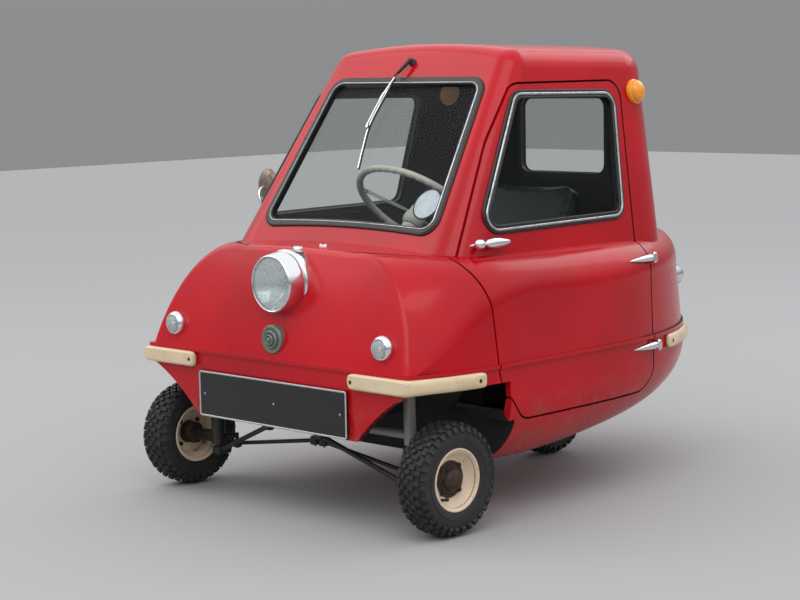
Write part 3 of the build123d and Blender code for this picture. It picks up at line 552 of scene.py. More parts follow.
def bentBar(points, radius, closed=False, resolution=4, kind="POLY"):
    # a bar along points, as a bmesh
    curve = bpy.data.curves.new("bar", "CURVE")
    curve.dimensions, curve.bevel_depth = "3D", radius
    curve.bevel_resolution, curve.use_fill_caps = resolution, not closed
    spline = curve.splines.new(kind)
    spline.points.add(len(points) - 1)
    for slot, point in zip(spline.points, points):
        slot.co = (*point, 1)
    spline.use_cyclic_u = closed
    if kind == "NURBS":
        spline.order_u, spline.use_endpoint_u, spline.resolution_u = 3, not closed, 10
    holder = bpy.data.objects.new("bar", curve)
    bpy.context.collection.objects.link(holder)
    mesh = bpy.data.meshes.new_from_object(holder.evaluated_get(bpy.context.evaluated_depsgraph_get()))
    bm = bmesh.new()
    bm.from_mesh(mesh)
    bpy.data.objects.remove(holder)
    bpy.data.curves.remove(curve)
    bpy.data.meshes.remove(mesh)
    return bm


def mergedCopy(source):
    # a CAD node's mesh as a bmesh, its doubles merged
    bm = bmesh.new()
    bm.from_mesh(nodes[source].data)
    bmesh.ops.remove_doubles(bm, verts=bm.verts, dist=1e-5)
    bm.normal_update()
    return bm


def linked(name, bm):
    # a bmesh as an object in the scene
    mesh = bpy.data.meshes.new(name)
    bm.to_mesh(mesh)
    bm.free()
    made = bpy.data.objects.new(name, mesh)
    bpy.context.collection.objects.link(made)
    return made


def bakeIn(piece):
    # puts the modifiers' result in place of the mesh
    made = bpy.data.meshes.new_from_object(piece.evaluated_get(bpy.context.evaluated_depsgraph_get()))
    piece.modifiers.clear()
    piece.data = made


def joined(*parts):
    # several bmeshes as one
    whole = bmesh.new()
    for part in parts:
        mesh = bpy.data.meshes.new("part")
        part.to_mesh(mesh)
        part.free()
        whole.from_mesh(mesh)
        bpy.data.meshes.remove(mesh)
    return whole


def windowLoop(corners, round, inset, arch=0.0):
    # the rounded outline of a window in its plane, moved inwards by inset; corners run anticlockwise
    sides = []
    for a, b in zip(corners, corners[1:] + corners[:1]):
        along = (Vector(b) - Vector(a)).normalized()
        sides.append((Vector(a) + Vector((-along.y, along.x)) * inset, along))
    half, points = max(x for x, _ in corners), []
    for (a, before), (b, after) in zip(sides[-1:] + sides[:-1], sides):
        corner = geometry.intersect_line_line_2d(a - before, a + before * 3, b - after, b + after * 3)
        bend = before.angle(after) / 2
        centre = corner + (after - before).normalized() * (round - inset) / math.cos(bend)
        start = corner - before * (round - inset) * math.tan(bend) - centre
        for step in range(9):
            spin = Matrix.Rotation(2 * bend * step / 8, 2)
            points.append(centre + spin @ start)
        if arch and abs(after.y) < 0.01 and b.y < 0.05:
            reach = half - round
            points += [Vector((-reach + 2 * reach * step / 12, b.y)) for step in range(1, 12)]
    return [
        Vector((p.x, p.y + max(0.0, 1 - p.y / round) * arch * max(0.0, 1 - (p.x / half) ** 2), 0))
        for p in points
    ]


def both(make):
    # calls make once for each side of the car
    for side, turn in (("Left", Matrix()), ("Right", mirrorX)):
        make(side, turn)


tyre = {
    "radius": 0.128, "crown": 0.1222, "half": 0.0385, "pitches": 34,
    "rows": (
        (0.0, 0.0, 0.1225, 0, 0.0105, 0.0105), (0.0128, 0.5, 0.1222, 4, 0.0105, 0.0105),
        (0.0252, 0.0, 0.1196, 24, 0.0115, 0.012), (0.035, 0.5, 0.1118, 58, 0.0105, 0.015)
    ),
    "lugHigh": 0.0062, "lugRise": 0.0022, "askew": 20
}
wheels = {
    "FrontLeft": ((0.446, -0.554, 0.128), 1, "wheel_front_left", "front_left"),
    "FrontRight": ((-0.446, -0.554, 0.128), -1, "wheel_front_right", "front_right"),
    "Rear": ((0.0, 0.3, 0.128), 1, "wheel_rear", "rear"),
}


def makeTyre(name, centre, out, body, nodeEnd):
    bm = bmesh.new()
    half, crown = tyre["half"], tyre["crown"]
    side = [
        (0.0625, 0.029), (0.0705, 0.0302), (0.074, 0.0345), (0.083, 0.0376), (0.095, half), (0.105, 0.038),
        (0.112, 0.0345), (0.1172, 0.029), (0.1202, 0.021), (crown, 0.011)
    ]
    addTurned(bm, side + [(crown + 0.0003, 0.0)] + [(r, -h) for r, h in reversed(side)], closed=True, steps=68)
    for wall in (-1, 1):  # moulding lines round the side walls
        addTurned(
            bm,
            [
                (0.0868, wall * 0.0378), (0.0874, wall * 0.0392), (0.0886, wall * 0.0392),
                (0.0892, wall * 0.0378)
            ],
            closed=True, steps=68
        )
    draw = random.Random(7)
    for offset, phase, radius, lean, across, along in tyre["rows"]:
        for wall in (-1, 1) if offset else (1,):
            for step in range(tyre["pitches"]):
                turn = math.tau * (step + phase + 0.06 * draw.uniform(-1, 1)) / tyre["pitches"]
                place = Matrix.Rotation(turn, 4, "Z") @ Matrix.Translation((radius, 0, wall * offset))
                place = place @ Matrix.Rotation(math.radians(90 - wall * lean), 4, "Y")
                askew = Matrix.Rotation(math.radians(tyre["askew"] if lean == 0 else 0), 4, "Z")
                size = (along if lean > 40 else across, along if lean < 40 else across, tyre["lugHigh"])
                addBlock(bm, size, place @ Matrix.Translation((0, 0, tyre["lugRise"])) @ askew, taper=0.84)
    settle(
        "tyre" + name, bm, "tyreRubber", body, placeAt(centre, (out, 0, 0)), sharp=30,
        replaced=["tyre_" + nodeEnd]
    )


def makeRim(name, centre, out, body, nodeEnd):
    bm = bmesh.new()
    dish = [
        (0.0625, 0.0292), (0.0704, 0.0298), (0.0716, 0.0318), (0.0712, 0.0336), (0.0696, 0.0346),
        (0.0676, 0.0342), (0.066, 0.0326), (0.0646, 0.029), (0.059, 0.0215), (0.052, 0.013), (0.0475, 0.0098),
        (0.044, 0.0088), (0.04, 0.0096), (0.03, 0.0102), (0.025, 0.0098), (0.025, 0.0062), (0.042, 0.005),
        (0.0485, 0.004), (0.053, -0.006), (0.059, -0.0215), (0.0646, -0.029), (0.066, -0.0326),
        (0.0676, -0.0342), (0.0696, -0.0346), (0.0712, -0.0336), (0.0716, -0.0318), (0.0704, -0.0298),
        (0.0625, -0.0292)
    ]
    addTurned(bm, dish, closed=True, steps=72)
    settle(
        "rim" + name, bm, "creamRim", body, placeAt(centre, (out, 0, 0)), sharp=50, replaced=["rim_" + nodeEnd]
    )
    bm = bmesh.new()
    front = name != "Rear"
    bolt = {"circle": 0.0385, "foot": 0.0088}
    hub = [
        (0.0106, -0.026), (0.024, -0.026), (0.0265, -0.022), (0.0265, 0.004), (0.033, 0.0098), (0.033, 0.0125),
        (0.0262, 0.0135), (0.025, 0.0185), (0.0236, 0.0235), (0.0204, 0.0275), (0.015, 0.03), (0.0075, 0.0311)
    ]
    if front:
        addTurned(bm, hub + [(0.0, 0.0313)], steps=40)
    else:
        addTurned(bm, hub[:7] + [(0.025, 0.016), (0.0106, 0.017)], closed=True, steps=40)
    for step in range(4):
        turn = math.tau * (step + 0.5) / 4
        foot = Vector((bolt["circle"] * math.cos(turn), bolt["circle"] * math.sin(turn), bolt["foot"]))
        addBar(bm, foot, foot + Vector((0, 0, 0.005)), 0.0062, sides=6)
        addBar(bm, foot + Vector((0, 0, 0.0045)), foot + Vector((0, 0, 0.0078)), 0.0032, sides=10)
        addBar(bm, foot - Vector((0, 0, 0.0075)), foot - Vector((0, 0, 0.0028)), 0.006, sides=6)
    settle("hub" + name, bm, "rustyHub", body, placeAt(centre, (out, 0, 0)), sharp=35)
    # painted shade: a near-black ring over the dish floor stands for the shaded well round the hub
    bm = bmesh.new()  # the dark well round the hub
    addTurned(
        bm, [(0.0275, 0.0106), (0.04, 0.0112), (0.0418, 0.0104), (0.042, 0.008), (0.0275, 0.008)], closed=True,
        steps=56
    )
    settle("hubWell" + name, bm, "paintedHoleShade", body, placeAt(centre, (out, 0, 0)))
    bm = bmesh.new()  # valve stem
    addBar(bm, (0.056, 0, 0.015), (0.052, 0, 0.03), 0.0032)
    addBar(bm, (0.052, 0, 0.03), (0.0505, 0, 0.0355), 0.0042)
    settle("valve" + name, bm, "tyreRubber", body, placeAt(centre, (out, 0, 0)) @ Matrix.Rotation(2.4, 4, "Z"))


for name, (centre, out, body, nodeEnd) in wheels.items():
    makeTyre(name, centre, out, body, nodeEnd)
    makeRim(name, centre, out, body, nodeEnd)
print("stage: wheels")


headlamp = {"centre": (0.0, -0.66, 0.541), "glass": 0.0615, "deep": 0.082}


def makeHeadlamp():
    place = placeAt(headlamp["centre"], (0, -1, 0))
    glass, deep = headlamp["glass"], headlamp["deep"]
    turned(
        "headlampBezel",
        [
            (glass, -0.006), (glass, 0.0016), (glass + 0.0008, 0.0042), (glass + 0.0026, 0.0052),
            (glass + 0.0044, 0.004), (glass + 0.0056, 0.0008), (0.0694, -0.009), (0.0714, -0.019),
            (0.0728, -0.029), (0.0731, -0.035), (0.0722, -0.0368), (0.0722, -0.039), (0.0742, -0.0398),
            (0.076, -0.0425), (0.0764, -0.047), (0.0758, -0.06), (0.074, -deep), (0.064, -deep), (0.064, -0.02)
        ],
        "chromeTrim", "root", place, sharp=42, replaced=["headlamp_shell"], closed=True, steps=80
    )
    turned(
        "headlampLens",
        [
            (glass + 0.0006, 0.0), (0.059, 0.0026), (0.05, 0.0056), (0.034, 0.009), (0.017, 0.011),
            (0.0, 0.0116), (0.0, 0.0092), (0.034, 0.0066), (0.055, 0.0018), (glass + 0.0006, -0.002)
        ],
        "lampGlass", "root", place, replaced=["headlamp_lens"], steps=72
    )
    turned(
        "headlampReflector",
        [
            (glass + 0.0004, -0.003), (0.056, -0.011), (0.048, -0.02), (0.036, -0.03), (0.022, -0.037),
            (0.01, -0.04), (0.0, -0.0404), (0.0, -0.042), (0.036, -0.033), (glass + 0.0004, -0.009)
        ],
        "mirrorBowl", "root", place, steps=72
    )
    turned(
        "headlampBulb",
        [
            (0.0, -0.04), (0.01, -0.04), (0.01, -0.033), (0.0078, -0.028), (0.0078, -0.02), (0.005, -0.0165),
            (0.0, -0.0155)
        ],
        "plateSilver", "root", place, steps=24
    )


sideLamp = {"centre": (0.358, -0.662, 0.421), "outer": 0.03}


def makeSideLamp(side, turn):
    place = turn @ placeAt(sideLamp["centre"], (0, -1, 0))
    out = sideLamp["outer"]
    turned(
        "sideLampBezel" + side,
        [
            (0.0205, 0.005), (0.0215, 0.0078), (0.0232, 0.0082), (0.0262, 0.0058), (out - 0.0008, -0.001),
            (out, -0.006), (out - 0.0008, -0.01), (out - 0.0025, -0.0125), (out - 0.0035, -0.04),
            (0.018, -0.04), (0.018, 0.0)
        ],
        "chromeTrim", "root", place, sharp=50, replaced=["side_lamps"], closed=True, steps=48
    )
    turned(
        "sideLampLens" + side,
        [
            (0.021, 0.004), (0.0206, 0.0078), (0.0185, 0.0112), (0.015, 0.014), (0.0095, 0.016), (0.0, 0.0168),
            (0.0, 0.0145), (0.012, 0.013), (0.0185, 0.008), (0.019, 0.0035)
        ],
        "lampGlass", "root", place, replaced=["side_lamp_lenses"], steps=48
    )
    bm = bmesh.new()
    addTurned(bm, [(0.019, 0.003), (0.012, 0.0005), (0.0, -0.001), (0.0, -0.003), (0.019, -0.001)], steps=32)
    addTurned(bm, [(0.0, -0.001), (0.0065, -0.001), (0.0065, 0.006), (0.004, 0.009), (0.0, 0.0095)], steps=20)
    settle("sideLampReflector" + side, bm, "mirrorBowl", "root", place)


hornGrille = {"centre": (0.0, -0.664, 0.412), "outer": 0.034, "screws": 0.0255}


def makeHornGrille():
    out = hornGrille["outer"]
    bm = bmesh.new()
    addTurned(
        bm,
        [
            (0.0, 0.0136), (0.0038, 0.0132), (0.0056, 0.0112), (0.0062, 0.0078), (0.0082, 0.0076),
            (0.009, 0.0106), (0.0104, 0.0116), (0.0122, 0.0108), (0.0132, 0.008), (0.0138, 0.0046),
            (0.016, 0.0044), (0.0168, 0.0074), (0.0184, 0.0084), (0.0204, 0.0074), (0.0216, 0.0044),
            (0.0222, 0.0014), (0.025, 0.0012), (0.0262, 0.003), (out - 0.003, 0.0036), (out - 0.0006, 0.0018),
            (out, -0.003), (out - 0.0012, -0.03), (0.0, -0.03)
        ],
        steps=64
    )
    for step in range(3):  # fixing screws between the rings
        turn = math.tau * step / 3 + 0.5
        x, y = hornGrille["screws"] * math.cos(turn), hornGrille["screws"] * math.sin(turn)
        addBar(bm, (x, y, -0.001), (x, y, 0.0012), 0.0018, sides=12)
    settle(
        "hornGrille", bm, "grilleGrey", "root", placeAt(hornGrille["centre"], (0, -1, 0)), sharp=60,
        replaced=["horn_grille"]
    )


makeHeadlamp()
both(makeSideLamp)
makeHornGrille()
print("stage: nose lamps")


def meet(node, start, toward):
    # where a ray first meets a CAD node: point and outward direction
    found, point, normal, _ = nodes[node].ray_cast(Vector(start), Vector(toward).normalized())
    return (point, normal) if found else (Vector(start), -Vector(toward).normalized())


bumper = {
    "voxel": 0.0032, "rounds": 46, "swell": 0.0034, "room": 0.0012,
    "holes": (  # where a ray starts and which way it runs, on the left side
        (0.2805, -0.8, 0.3425, (0, 1, 0)), (0.6, -0.492, 0.3425, (-1, 0, 0)),
        (0.6, 0.268, 0.343, (-1, 0, 0)), (0.172, 0.8, 0.343, (0, -1, 0)),
    ),
    "hole": [(0.0, 0.0006), (0.0036, 0.0007), (0.0046, 0.0002), (0.0048, -0.003), (0.0, -0.003)],
}


def makeBumpers():
    bm = mergedCopy("bumpers")
    holder = linked("bumperStart", bm)
    holder.modifiers.new("remesh", "REMESH").voxel_size = bumper["voxel"]
    bakeIn(holder)
    bm = bmesh.new()
    bm.from_mesh(holder.data)
    bpy.data.objects.remove(holder)
    for _ in range(bumper["rounds"]):
        bmesh.ops.smooth_vert(bm, verts=bm.verts, factor=0.5, use_axis_x=True, use_axis_y=True, use_axis_z=True)
    bm.normal_update()
    low, high = (Vector(corner) for corner in cadBox)
    room = bumper["room"]  # kept free inside the solids' box, for the screw holes
    for v in bm.verts:
        v.co += v.normal * bumper["swell"]
        v.co = Vector(max(low[i] + room, min(high[i] - room, v.co[i])) for i in range(3))
    bar = settle("bumperBars", bm, "agedIvory", "root", sharp=180, replaced=["bumpers"])
    bpy.context.view_layer.update()
    # painted shade: near-black discs at the screw holes stand for the shade inside them
    bm = bmesh.new()
    for x, y, z, toward in bumper["holes"]:
        for side in (1, -1):
            start, way = Vector((side * x, y, z)), Vector((side * toward[0], toward[1], 0))
            found, point, normal, _ = bar.ray_cast(start, way)
            if found:
                addTurned(bm, bumper["hole"], placeAt(point, normal), steps=20)
    settle("bumperScrewHoleShade", bm, "paintedHoleShade", "root")


makeBumpers()
print("stage: bumpers")


plate = {"front": ((0.0, -0.674, 0.263), (0, -1, 0), 0.512, 0.11), "rim": 0.0046, "flat": 0.6, "corner": 0.007}


def makePlate(name, centre, normal, wide, high, rivets):
    place = placeAt(centre, normal, (0, 0, 1)) @ Matrix.Rotation(math.pi / 2, 4, "Z")
    half = (wide / 2, high / 2)
    corners = [(sx * half[0], sy * half[1]) for sx, sy in ((-1, -1), (1, -1), (1, 1), (-1, 1))]
    points = windowLoop(corners, plate["corner"], plate["rim"] / 2)
    bm = bentBar(points, plate["rim"] / 2, closed=True)
    bmesh.ops.scale(bm, vec=(1, 1, plate["flat"]), verts=bm.verts)
    settle("plateRim" + name, bm, "plateSilver", "root", place)
    bm = bmesh.new()
    for x in rivets:
        addTurned(
            bm, [(0.0032, 0.0), (0.003, 0.0012), (0.0018, 0.0021), (0.0, 0.0024)],
            Matrix.Translation((x, 0, 0)), steps=20
        )
    settle("plateRivets" + name, bm, "brushedMetal", "root", place)


makePlate("Front", *plate["front"], (-0.235, -0.012, 0.235))
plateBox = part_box("number_plates")
makePlate("Rear", (0.0, plateBox[1][1], 0.44), (0, 1, 0), 0.23, 0.15, (-0.095, 0.095))
print("stage: plates")


teardrop = {"fat": 0.0086, "flat": 0.78}


def addTeardrop(bm, start, end, fat, flat, outward, tip=0.0008):
    # a chrome drop, round at start and pointed at end
    a, b = Vector(start), Vector(end)
    long = (b - a).length
    profile = [
        (0.0, 0.0), (fat * 0.55, 0.0012), (fat * 0.86, 0.004), (fat, 0.0095), (fat * 0.98, long * 0.22),
        (fat * 0.8, long * 0.45), (fat * 0.52, long * 0.7), (fat * 0.25, long * 0.9), (tip, long * 0.985),
        (0.0, long)
    ]
    place = placeAt(a, b - a, outward) @ Matrix.Diagonal((flat, 1, 1, 1))
    addTurned(bm, profile, place, steps=32)


hinge = {"Low": (0.47, 0.18, 0.345), "High": (0.457, 0.18, 0.559)}
hingeArm = {"reach": 0.098, "drop": 0.003, "fatAt": 0.022, "knuckle": 0.008, "barrel": 0.007, "footAt": 0.022}


def makeHinge(name, pin):
    x, y, z = pin
    _, outward = meet("door_panel", (0.6, y - hingeArm["fatAt"], z), (-1, 0, 0))
    tipPoint, _ = meet("door_panel", (0.6, y - hingeArm["reach"], z - hingeArm["drop"]), (-1, 0, 0))
    bm = bmesh.new()
    start = Vector((x - 0.001, y - 0.004, z))
    addTeardrop(bm, start, tipPoint + Vector((0.002, 0, 0)), teardrop["fat"], teardrop["flat"], outward)
    axisUp = (Vector(hinge["High"]) - Vector(hinge["Low"])).normalized()
    half = axisUp * hingeArm["knuckle"]
    addBar(bm, Vector(pin) - half, Vector(pin) + half, hingeArm["barrel"], sides=28)
    settle("hingeStrap" + name, bm, "chromeTrim", "door", replaced=["hinge_straps"])
    bm = bmesh.new()
    for sign in (-1, 1):
        addBar(
            bm, Vector(pin) + axisUp * sign * 0.0088, Vector(pin) + axisUp * sign * 0.0122, 0.0062, 0.005,
            sides=28
        )
        addBar(
            bm, Vector(pin) + axisUp * sign * 0.0105, Vector((x - 0.02, y + 0.026, z)) + axisUp * sign * 0.006,
            0.0034, sides=16
        )
    backPoint, backOut = meet(
        "lower_shell" if name == "Low" else "upper_shell", (0.6, y + hingeArm["footAt"], z), (-1, 0, 0)
    )
    addTurned(
        bm, [(0.0, 0.0085), (0.004, 0.0078), (0.0072, 0.005), (0.0085, 0.0), (0.0085, -0.006), (0.0, -0.006)],
        placeAt(backPoint, backOut), steps=32
    )
    settle("hingeFoot" + name, bm, "chromeTrim", "root", replaced=["hinge_brackets"])


for name, pin in hinge.items():
    makeHinge(name, pin)

sidePlace = placeAt((0.385, 0, 0.66), (0.9818, 0, 0.18998), (0, 1, 0))
doorHandle = {
    "along": -0.393, "up": -0.0326, "lift": 0.017, "ball": 0.013, "front": 0.021, "tip": 0.106, "fat": 0.0128
}


def makeDoorHandle():
    along, up, lift, ball = (doorHandle[key] for key in ("along", "up", "lift", "ball"))
    bm = bmesh.new()
    addTurned(
        bm,
        [
            (0.0, lift + ball), (ball * 0.42, lift + ball * 0.9), (ball * 0.75, lift + ball * 0.66),
            (ball * 0.95, lift + ball * 0.31), (ball, lift), (ball * 0.95, lift - ball * 0.31),
            (ball * 0.72, lift - ball * 0.69), (0.006, 0.005), (0.0056, 0.0), (0.0056, -0.024), (0.0, -0.024)
        ],
        Matrix.Translation((along, up, 0)), steps=40
    )
    fat, front, tip = (doorHandle[key] for key in ("fat", "front", "tip"))
    long = tip - front
    lever = [
        (0.0, 0.0), (fat * 0.45, long * 0.02), (fat * 0.78, long * 0.08), (fat * 0.97, long * 0.2),
        (fat, long * 0.32), (fat * 0.93, long * 0.5), (fat * 0.72, long * 0.7), (fat * 0.46, long * 0.87),
        (fat * 0.26, long * 0.96), (0.0, long)
    ]
    addTurned(
        bm, lever, placeAt((along + front, up, lift), (1, 0, 0), (0, 0, 1)) @ Matrix.Diagonal((0.82, 1, 1, 1)),
        steps=32
    )
    addBar(bm, (along, up, lift), (along + doorHandle["front"] + 0.008, up, lift), 0.004)
    settle("doorHandleLever", bm, "chromeTrim", "door", sidePlace, replaced=["door_handle"])


makeDoorHandle()
print("stage: door chrome")


screenPlace = placeAt((0, -0.428, 0.646), (0, -0.8375, 0.5465), (1, 0, 0))
rearPlace = placeAt((0, 0.385, 0.842), (0, 1, 0), (-1, 0, 0))
sideWindow = ((-0.378, -0.0102), (0.149, -0.0041), (0.186, 0.3086), (-0.184, 0.3147))
windowShapes = {
    "Screen": {
        "place": screenPlace, "corners": ((-0.297, 0), (0.297, 0), (0.257, 0.4227), (-0.257, 0.4227)),
        "round": 0.045, "arch": 0.013, "body": "root", "strip": (0.0128, 0.0021, 1.0)
    },
    "Door": {
        "place": sidePlace, "corners": sideWindow, "round": 0.04, "arch": 0.0, "body": "door",
        "strip": (0.006, 0.0034, 0.85)
    },
    "Side": {
        "place": mirrorX @ sidePlace, "corners": sideWindow, "round": 0.04, "arch": 0.0, "body": "root",
        "strip": (0.006, 0.0034, 0.85)
    },
    "Rear": {
        "place": rearPlace, "corners": ((-0.158, -0.114), (0.158, -0.114), (0.158, 0.114), (-0.158, 0.114)),
        "round": 0.042, "arch": 0.0, "body": "root", "strip": (0.011, 0.0021, 1.0)
    }
}
rubberLips = ((-0.0012, 0.0032, 0.0012), (0.0145, 0.0034, 0.0034))  # inset, radius, lift


def makeWindowTrim(name, shape):
    inset, radius, flat = shape["strip"]
    bead = bentBar(windowLoop(shape["corners"], shape["round"], inset, shape["arch"]), radius, closed=True)
    bmesh.ops.scale(bead, vec=(1, 1, flat), verts=bead.verts)
    bmesh.ops.translate(bead, vec=(0, 0, 0.0046), verts=bead.verts)
    settle("fillerStrip" + name, bead, "fillerGrey", shape["body"], shape["place"])
    lips = [
        bentBar(
            [
                p + Vector((0, 0, lift))
                for p in windowLoop(shape["corners"], shape["round"], lipInset, shape["arch"])
            ],
            lipRadius, closed=True
        )
        for lipInset,
        lipRadius, lift in rubberLips
    ]
    settle("rubberLips" + name, joined(*lips), "blackRubber", shape["body"], shape["place"])


for name, shape in windowShapes.items():
    makeWindowTrim(name, shape)
print("stage: filler strips")


wiper = {
    "foot": (-0.012, 0.47), "bladeTop": (-0.0445, 0.4211), "clip": (-0.0574, 0.2824), "tip": (-0.034, 0.1665),
    "lift": 0.013
}


def makeWiper():
    def at(p, lift):
        return screenPlace @ Vector((p[0], p[1], lift))

    foot, clip, tip = wiper["foot"], wiper["clip"], wiper["tip"]
    out = screenPlace.to_3x3() @ Vector((0, 0, 1))
    bm = bmesh.new()
    addTurned(
        bm,
        [
            (0.0, 0.016), (0.005, 0.0155), (0.0068, 0.013), (0.0072, 0.006), (0.01, 0.003), (0.011, -0.012),
            (0.0, -0.012)
        ],
        placeAt(at(foot, 0), out), steps=28
    )
    addBar(bm, at(foot, 0.012), at((-0.03, 0.43), 0.016), 0.0052, 0.0034)
    addBar(bm, at((-0.021, 0.452), 0.016), at((-0.033, 0.418), 0.02), 0.0022)
    settle("wiperPivot", bm, "blackSteel", "root")
    bm = joined(
        bentBar(
            [at((-0.029, 0.432), 0.016), at((-0.04, 0.39), 0.02), at((-0.052, 0.32), 0.02), at(clip, 0.017)],
            0.002, kind="NURBS"
        )
    )
    addBar(bm, at((-0.044, 0.372), 0.0195), at((-0.0475, 0.352), 0.0195), 0.0032)
    addBlock(
        bm, (0.0085, 0.018, 0.007),
        placeAt(at(clip, 0.0145), out, at(tip, 0) - at(clip, 0)) @ Matrix.Rotation(math.pi / 2, 4, "Z"),
        taper=0.8, round=0.0012
    )
    settle("wiperArm", bm, "chromeTrim", "root", replaced=["wiper"])
    bow = [
        at(wiper["bladeTop"], 0.0085), at(Vector(wiper["bladeTop"]).lerp(Vector(clip), 0.5), 0.0105),
        at(clip, 0.0118), at(Vector(clip).lerp(Vector(tip), 0.5), 0.0105), at(tip, 0.0085)
    ]
    settle("wiperBladeHolder", bentBar(bow, 0.0021, kind="NURBS"), "chromeTrim", "root")
    low = [p - out * 0.0048 for p in bow]
    bm = bentBar(low, 0.0019, kind="NURBS")
    settle("wiperRubber", bm, "blackRubber", "root")


makeWiper()


mirrorPlace = {
    "centre": (-0.438, -0.268, 0.73), "radius": 0.046, "back": 0.01, "facing": (0.25, 1, 0.05),
    "footFrom": (-0.6, -0.3, 0.638), "arm": 0.004,
}


def makeMirror():
    x, y, z = mirrorPlace["centre"]
    r = mirrorPlace["radius"]
    place = placeAt((x, y - mirrorPlace["back"], z), mirrorPlace["facing"])
    bm = bmesh.new()
    addTurned(
        bm,
        [
            (r - 0.003, 0.006), (r - 0.0018, 0.008), (r, 0.0066), (r + 0.0002, 0.003), (r - 0.004, -0.004),
            (r * 0.7, -0.0115), (r * 0.35, -0.015), (0.0, -0.016), (0.0, -0.013), (r * 0.6, -0.009),
            (r - 0.004, 0.0)
        ],
        place, steps=56
    )
    settle("mirrorShell", bm, "brownTintedChrome", "root", replaced=["wing_mirror"])
    bm = bmesh.new()
    addTurned(bm, [(0.0, 0.0058), (r - 0.0026, 0.0058), (r - 0.0026, 0.004), (0.0, 0.004)], place, steps=56)
    settle("mirrorGlass", bm, "mirrorBowl", "root")
    foot, outward = meet("upper_shell", mirrorPlace["footFrom"], (1, 0, 0))
    back = place @ Vector((0, 0, -0.015))
    bm = joined(
        bentBar(
            [
                foot - outward * 0.004, foot + outward * 0.022, Vector((x + 0.004, y - 0.045, z - 0.03)),
                back + Vector((0, -0.012, -0.004)), back + Vector((0, 0.002, 0))
            ],
            mirrorPlace["arm"], kind="NURBS"
        )
    )
    addTurned(
        bm, [(0.0, 0.007), (0.0075, 0.006), (0.012, 0.0035), (0.015, 0.0), (0.015, -0.004), (0.0, -0.004)],
        placeAt(foot, outward), steps=32
    )
    settle("mirrorArm", bm, "chromeTrim", "root")


makeMirror()


def makeBonnetBits():
    bm = bmesh.new()
    for x, y, turn, length in ((0.0, -0.5755, 0.0, 0.034), (0.031, -0.524, 0.5, 0.022)):
        point, normal = meet("upper_shell", (x, y, 0.8), (0, 0, -1))
        place = placeAt(point, normal, (1, 0, 0)) @ Matrix.Rotation(turn, 4, "Z")
        addTurned(
            bm, [(0.0, 0.0034), (0.006, 0.0031), (0.009, 0.0018), (0.01, -0.001), (0.0, -0.001)],
            place @ Matrix.Diagonal((length / 0.02, 0.72, 1, 1)), steps=32
        )
        for end in (-1, 1):
            addTurned(
                bm, [(0.0, 0.0052), (0.0016, 0.0049), (0.0026, 0.0036), (0.0026, 0.0), (0.0, 0.0)],
                place @ Matrix.Translation((end * length * 0.28, 0, 0)), steps=16
            )
    settle("bonnetClips", bm, "chromeTrim", "root")


def makeLicenceDisc():
    place = screenPlace @ Matrix.Translation((0.2232, 0.0884, -0.0105))
    bm = bmesh.new()
    addTurned(
        bm, [(0.0, 0.001), (0.0375, 0.001), (0.038, 0.0), (0.0375, -0.001), (0.0, -0.001)], place, steps=48
    )
    settle("licenceDisc", bm, "paperDisc", "root")
    bm = bmesh.new()
    addTurned(
        bm, [(0.0372, 0.0018), (0.0398, 0.0022), (0.0412, 0.001), (0.0412, -0.0012), (0.0372, -0.0012)], place,
        steps=48, closed=True
    )
    settle("licenceDiscHolder", bm, "darkShell", "root")


def makeJointRivets():
    bm = bmesh.new()
    for x in (-0.215, 0.0, 0.215):  # under the nose's joint lip
        point, normal = meet("lower_shell", (x, -0.8, 0.342), (0, 1, 0))
        addTurned(
            bm, [(0.0, 0.0016), (0.0022, 0.0013), (0.0034, 0.0002), (0.0034, -0.001), (0.0, -0.001)],
            placeAt(point, normal), steps=18
        )
    settle("jointRivets", bm, "redGloss", "root")


makeBonnetBits()
makeLicenceDisc()
makeJointRivets()
print("stage: wiper, mirror and small fittings")


rearLamp = {"x": 0.2, "z": 0.465, "sunk": 0.004}


def makeRearLamps():
    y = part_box("rear_lamps")[1][1] - rearLamp["sunk"]
    for side in (1, -1):
        name = "Left" if side > 0 else "Right"
        place = placeAt((side * rearLamp["x"], y, rearLamp["z"]), (0, 1, 0))
        bm = bmesh.new()
        addTurned(
            bm,
            [
                (0.0, 0.006), (0.006, 0.0058), (0.0066, 0.0048), (0.015, 0.004), (0.0156, 0.0028),
                (0.021, 0.0014), (0.0238, -0.003), (0.0245, -0.011), (0.0245, -0.03), (0.0, -0.03)
            ],
            place, steps=44
        )
        settle("rearLampLens" + name, bm, "redLens", "root", sharp=30, replaced=["rear_lamps"])
        bm = bmesh.new()
        addTurned(
            bm, [(0.024, -0.008), (0.0262, -0.0072), (0.0284, -0.011), (0.029, -0.05), (0.024, -0.05)], place,
            closed=True, steps=44
        )
        settle("rearLampRing" + name, bm, "chromeTrim", "root")


indicator = {"centre": (0.324, 0.269, 0.958), "turn": math.radians(10), "rise": 0.1935, "outer": 0.0312}


def makeIndicator(side, turn):
    outward = (math.cos(indicator["turn"]), math.sin(indicator["turn"]), indicator["rise"])
    place = turn @ placeAt(indicator["centre"], outward)
    out = indicator["outer"]
    bm = bmesh.new()
    addTurned(
        bm,
        [
            (0.0, 0.0272), (0.009, 0.0266), (0.0165, 0.0246), (0.0222, 0.0212), (0.0252, 0.0168),
            (0.0258, 0.0154), (0.0268, 0.015), (0.0274, 0.012), (0.0278, 0.0086), (0.0292, 0.008),
            (out - 0.0004, 0.0062), (out, 0.0035), (out, -0.022), (0.0, -0.022)
        ],
        place, steps=48
    )
    for step in range(14):  # prism ribs inside the lens show as ridges
        spin = math.tau * step / 14
        rib = Vector((math.cos(spin), math.sin(spin), 0))
        addBar(
            bm, place @ (rib * 0.0272 + Vector((0, 0, 0.009))), place @ (rib * 0.0246 + Vector((0, 0, 0.0176))),
            0.0012, sides=8
        )
    settle("indicatorLens" + side, bm, "amberLens", "root", sharp=30, replaced=["rear_indicators"])


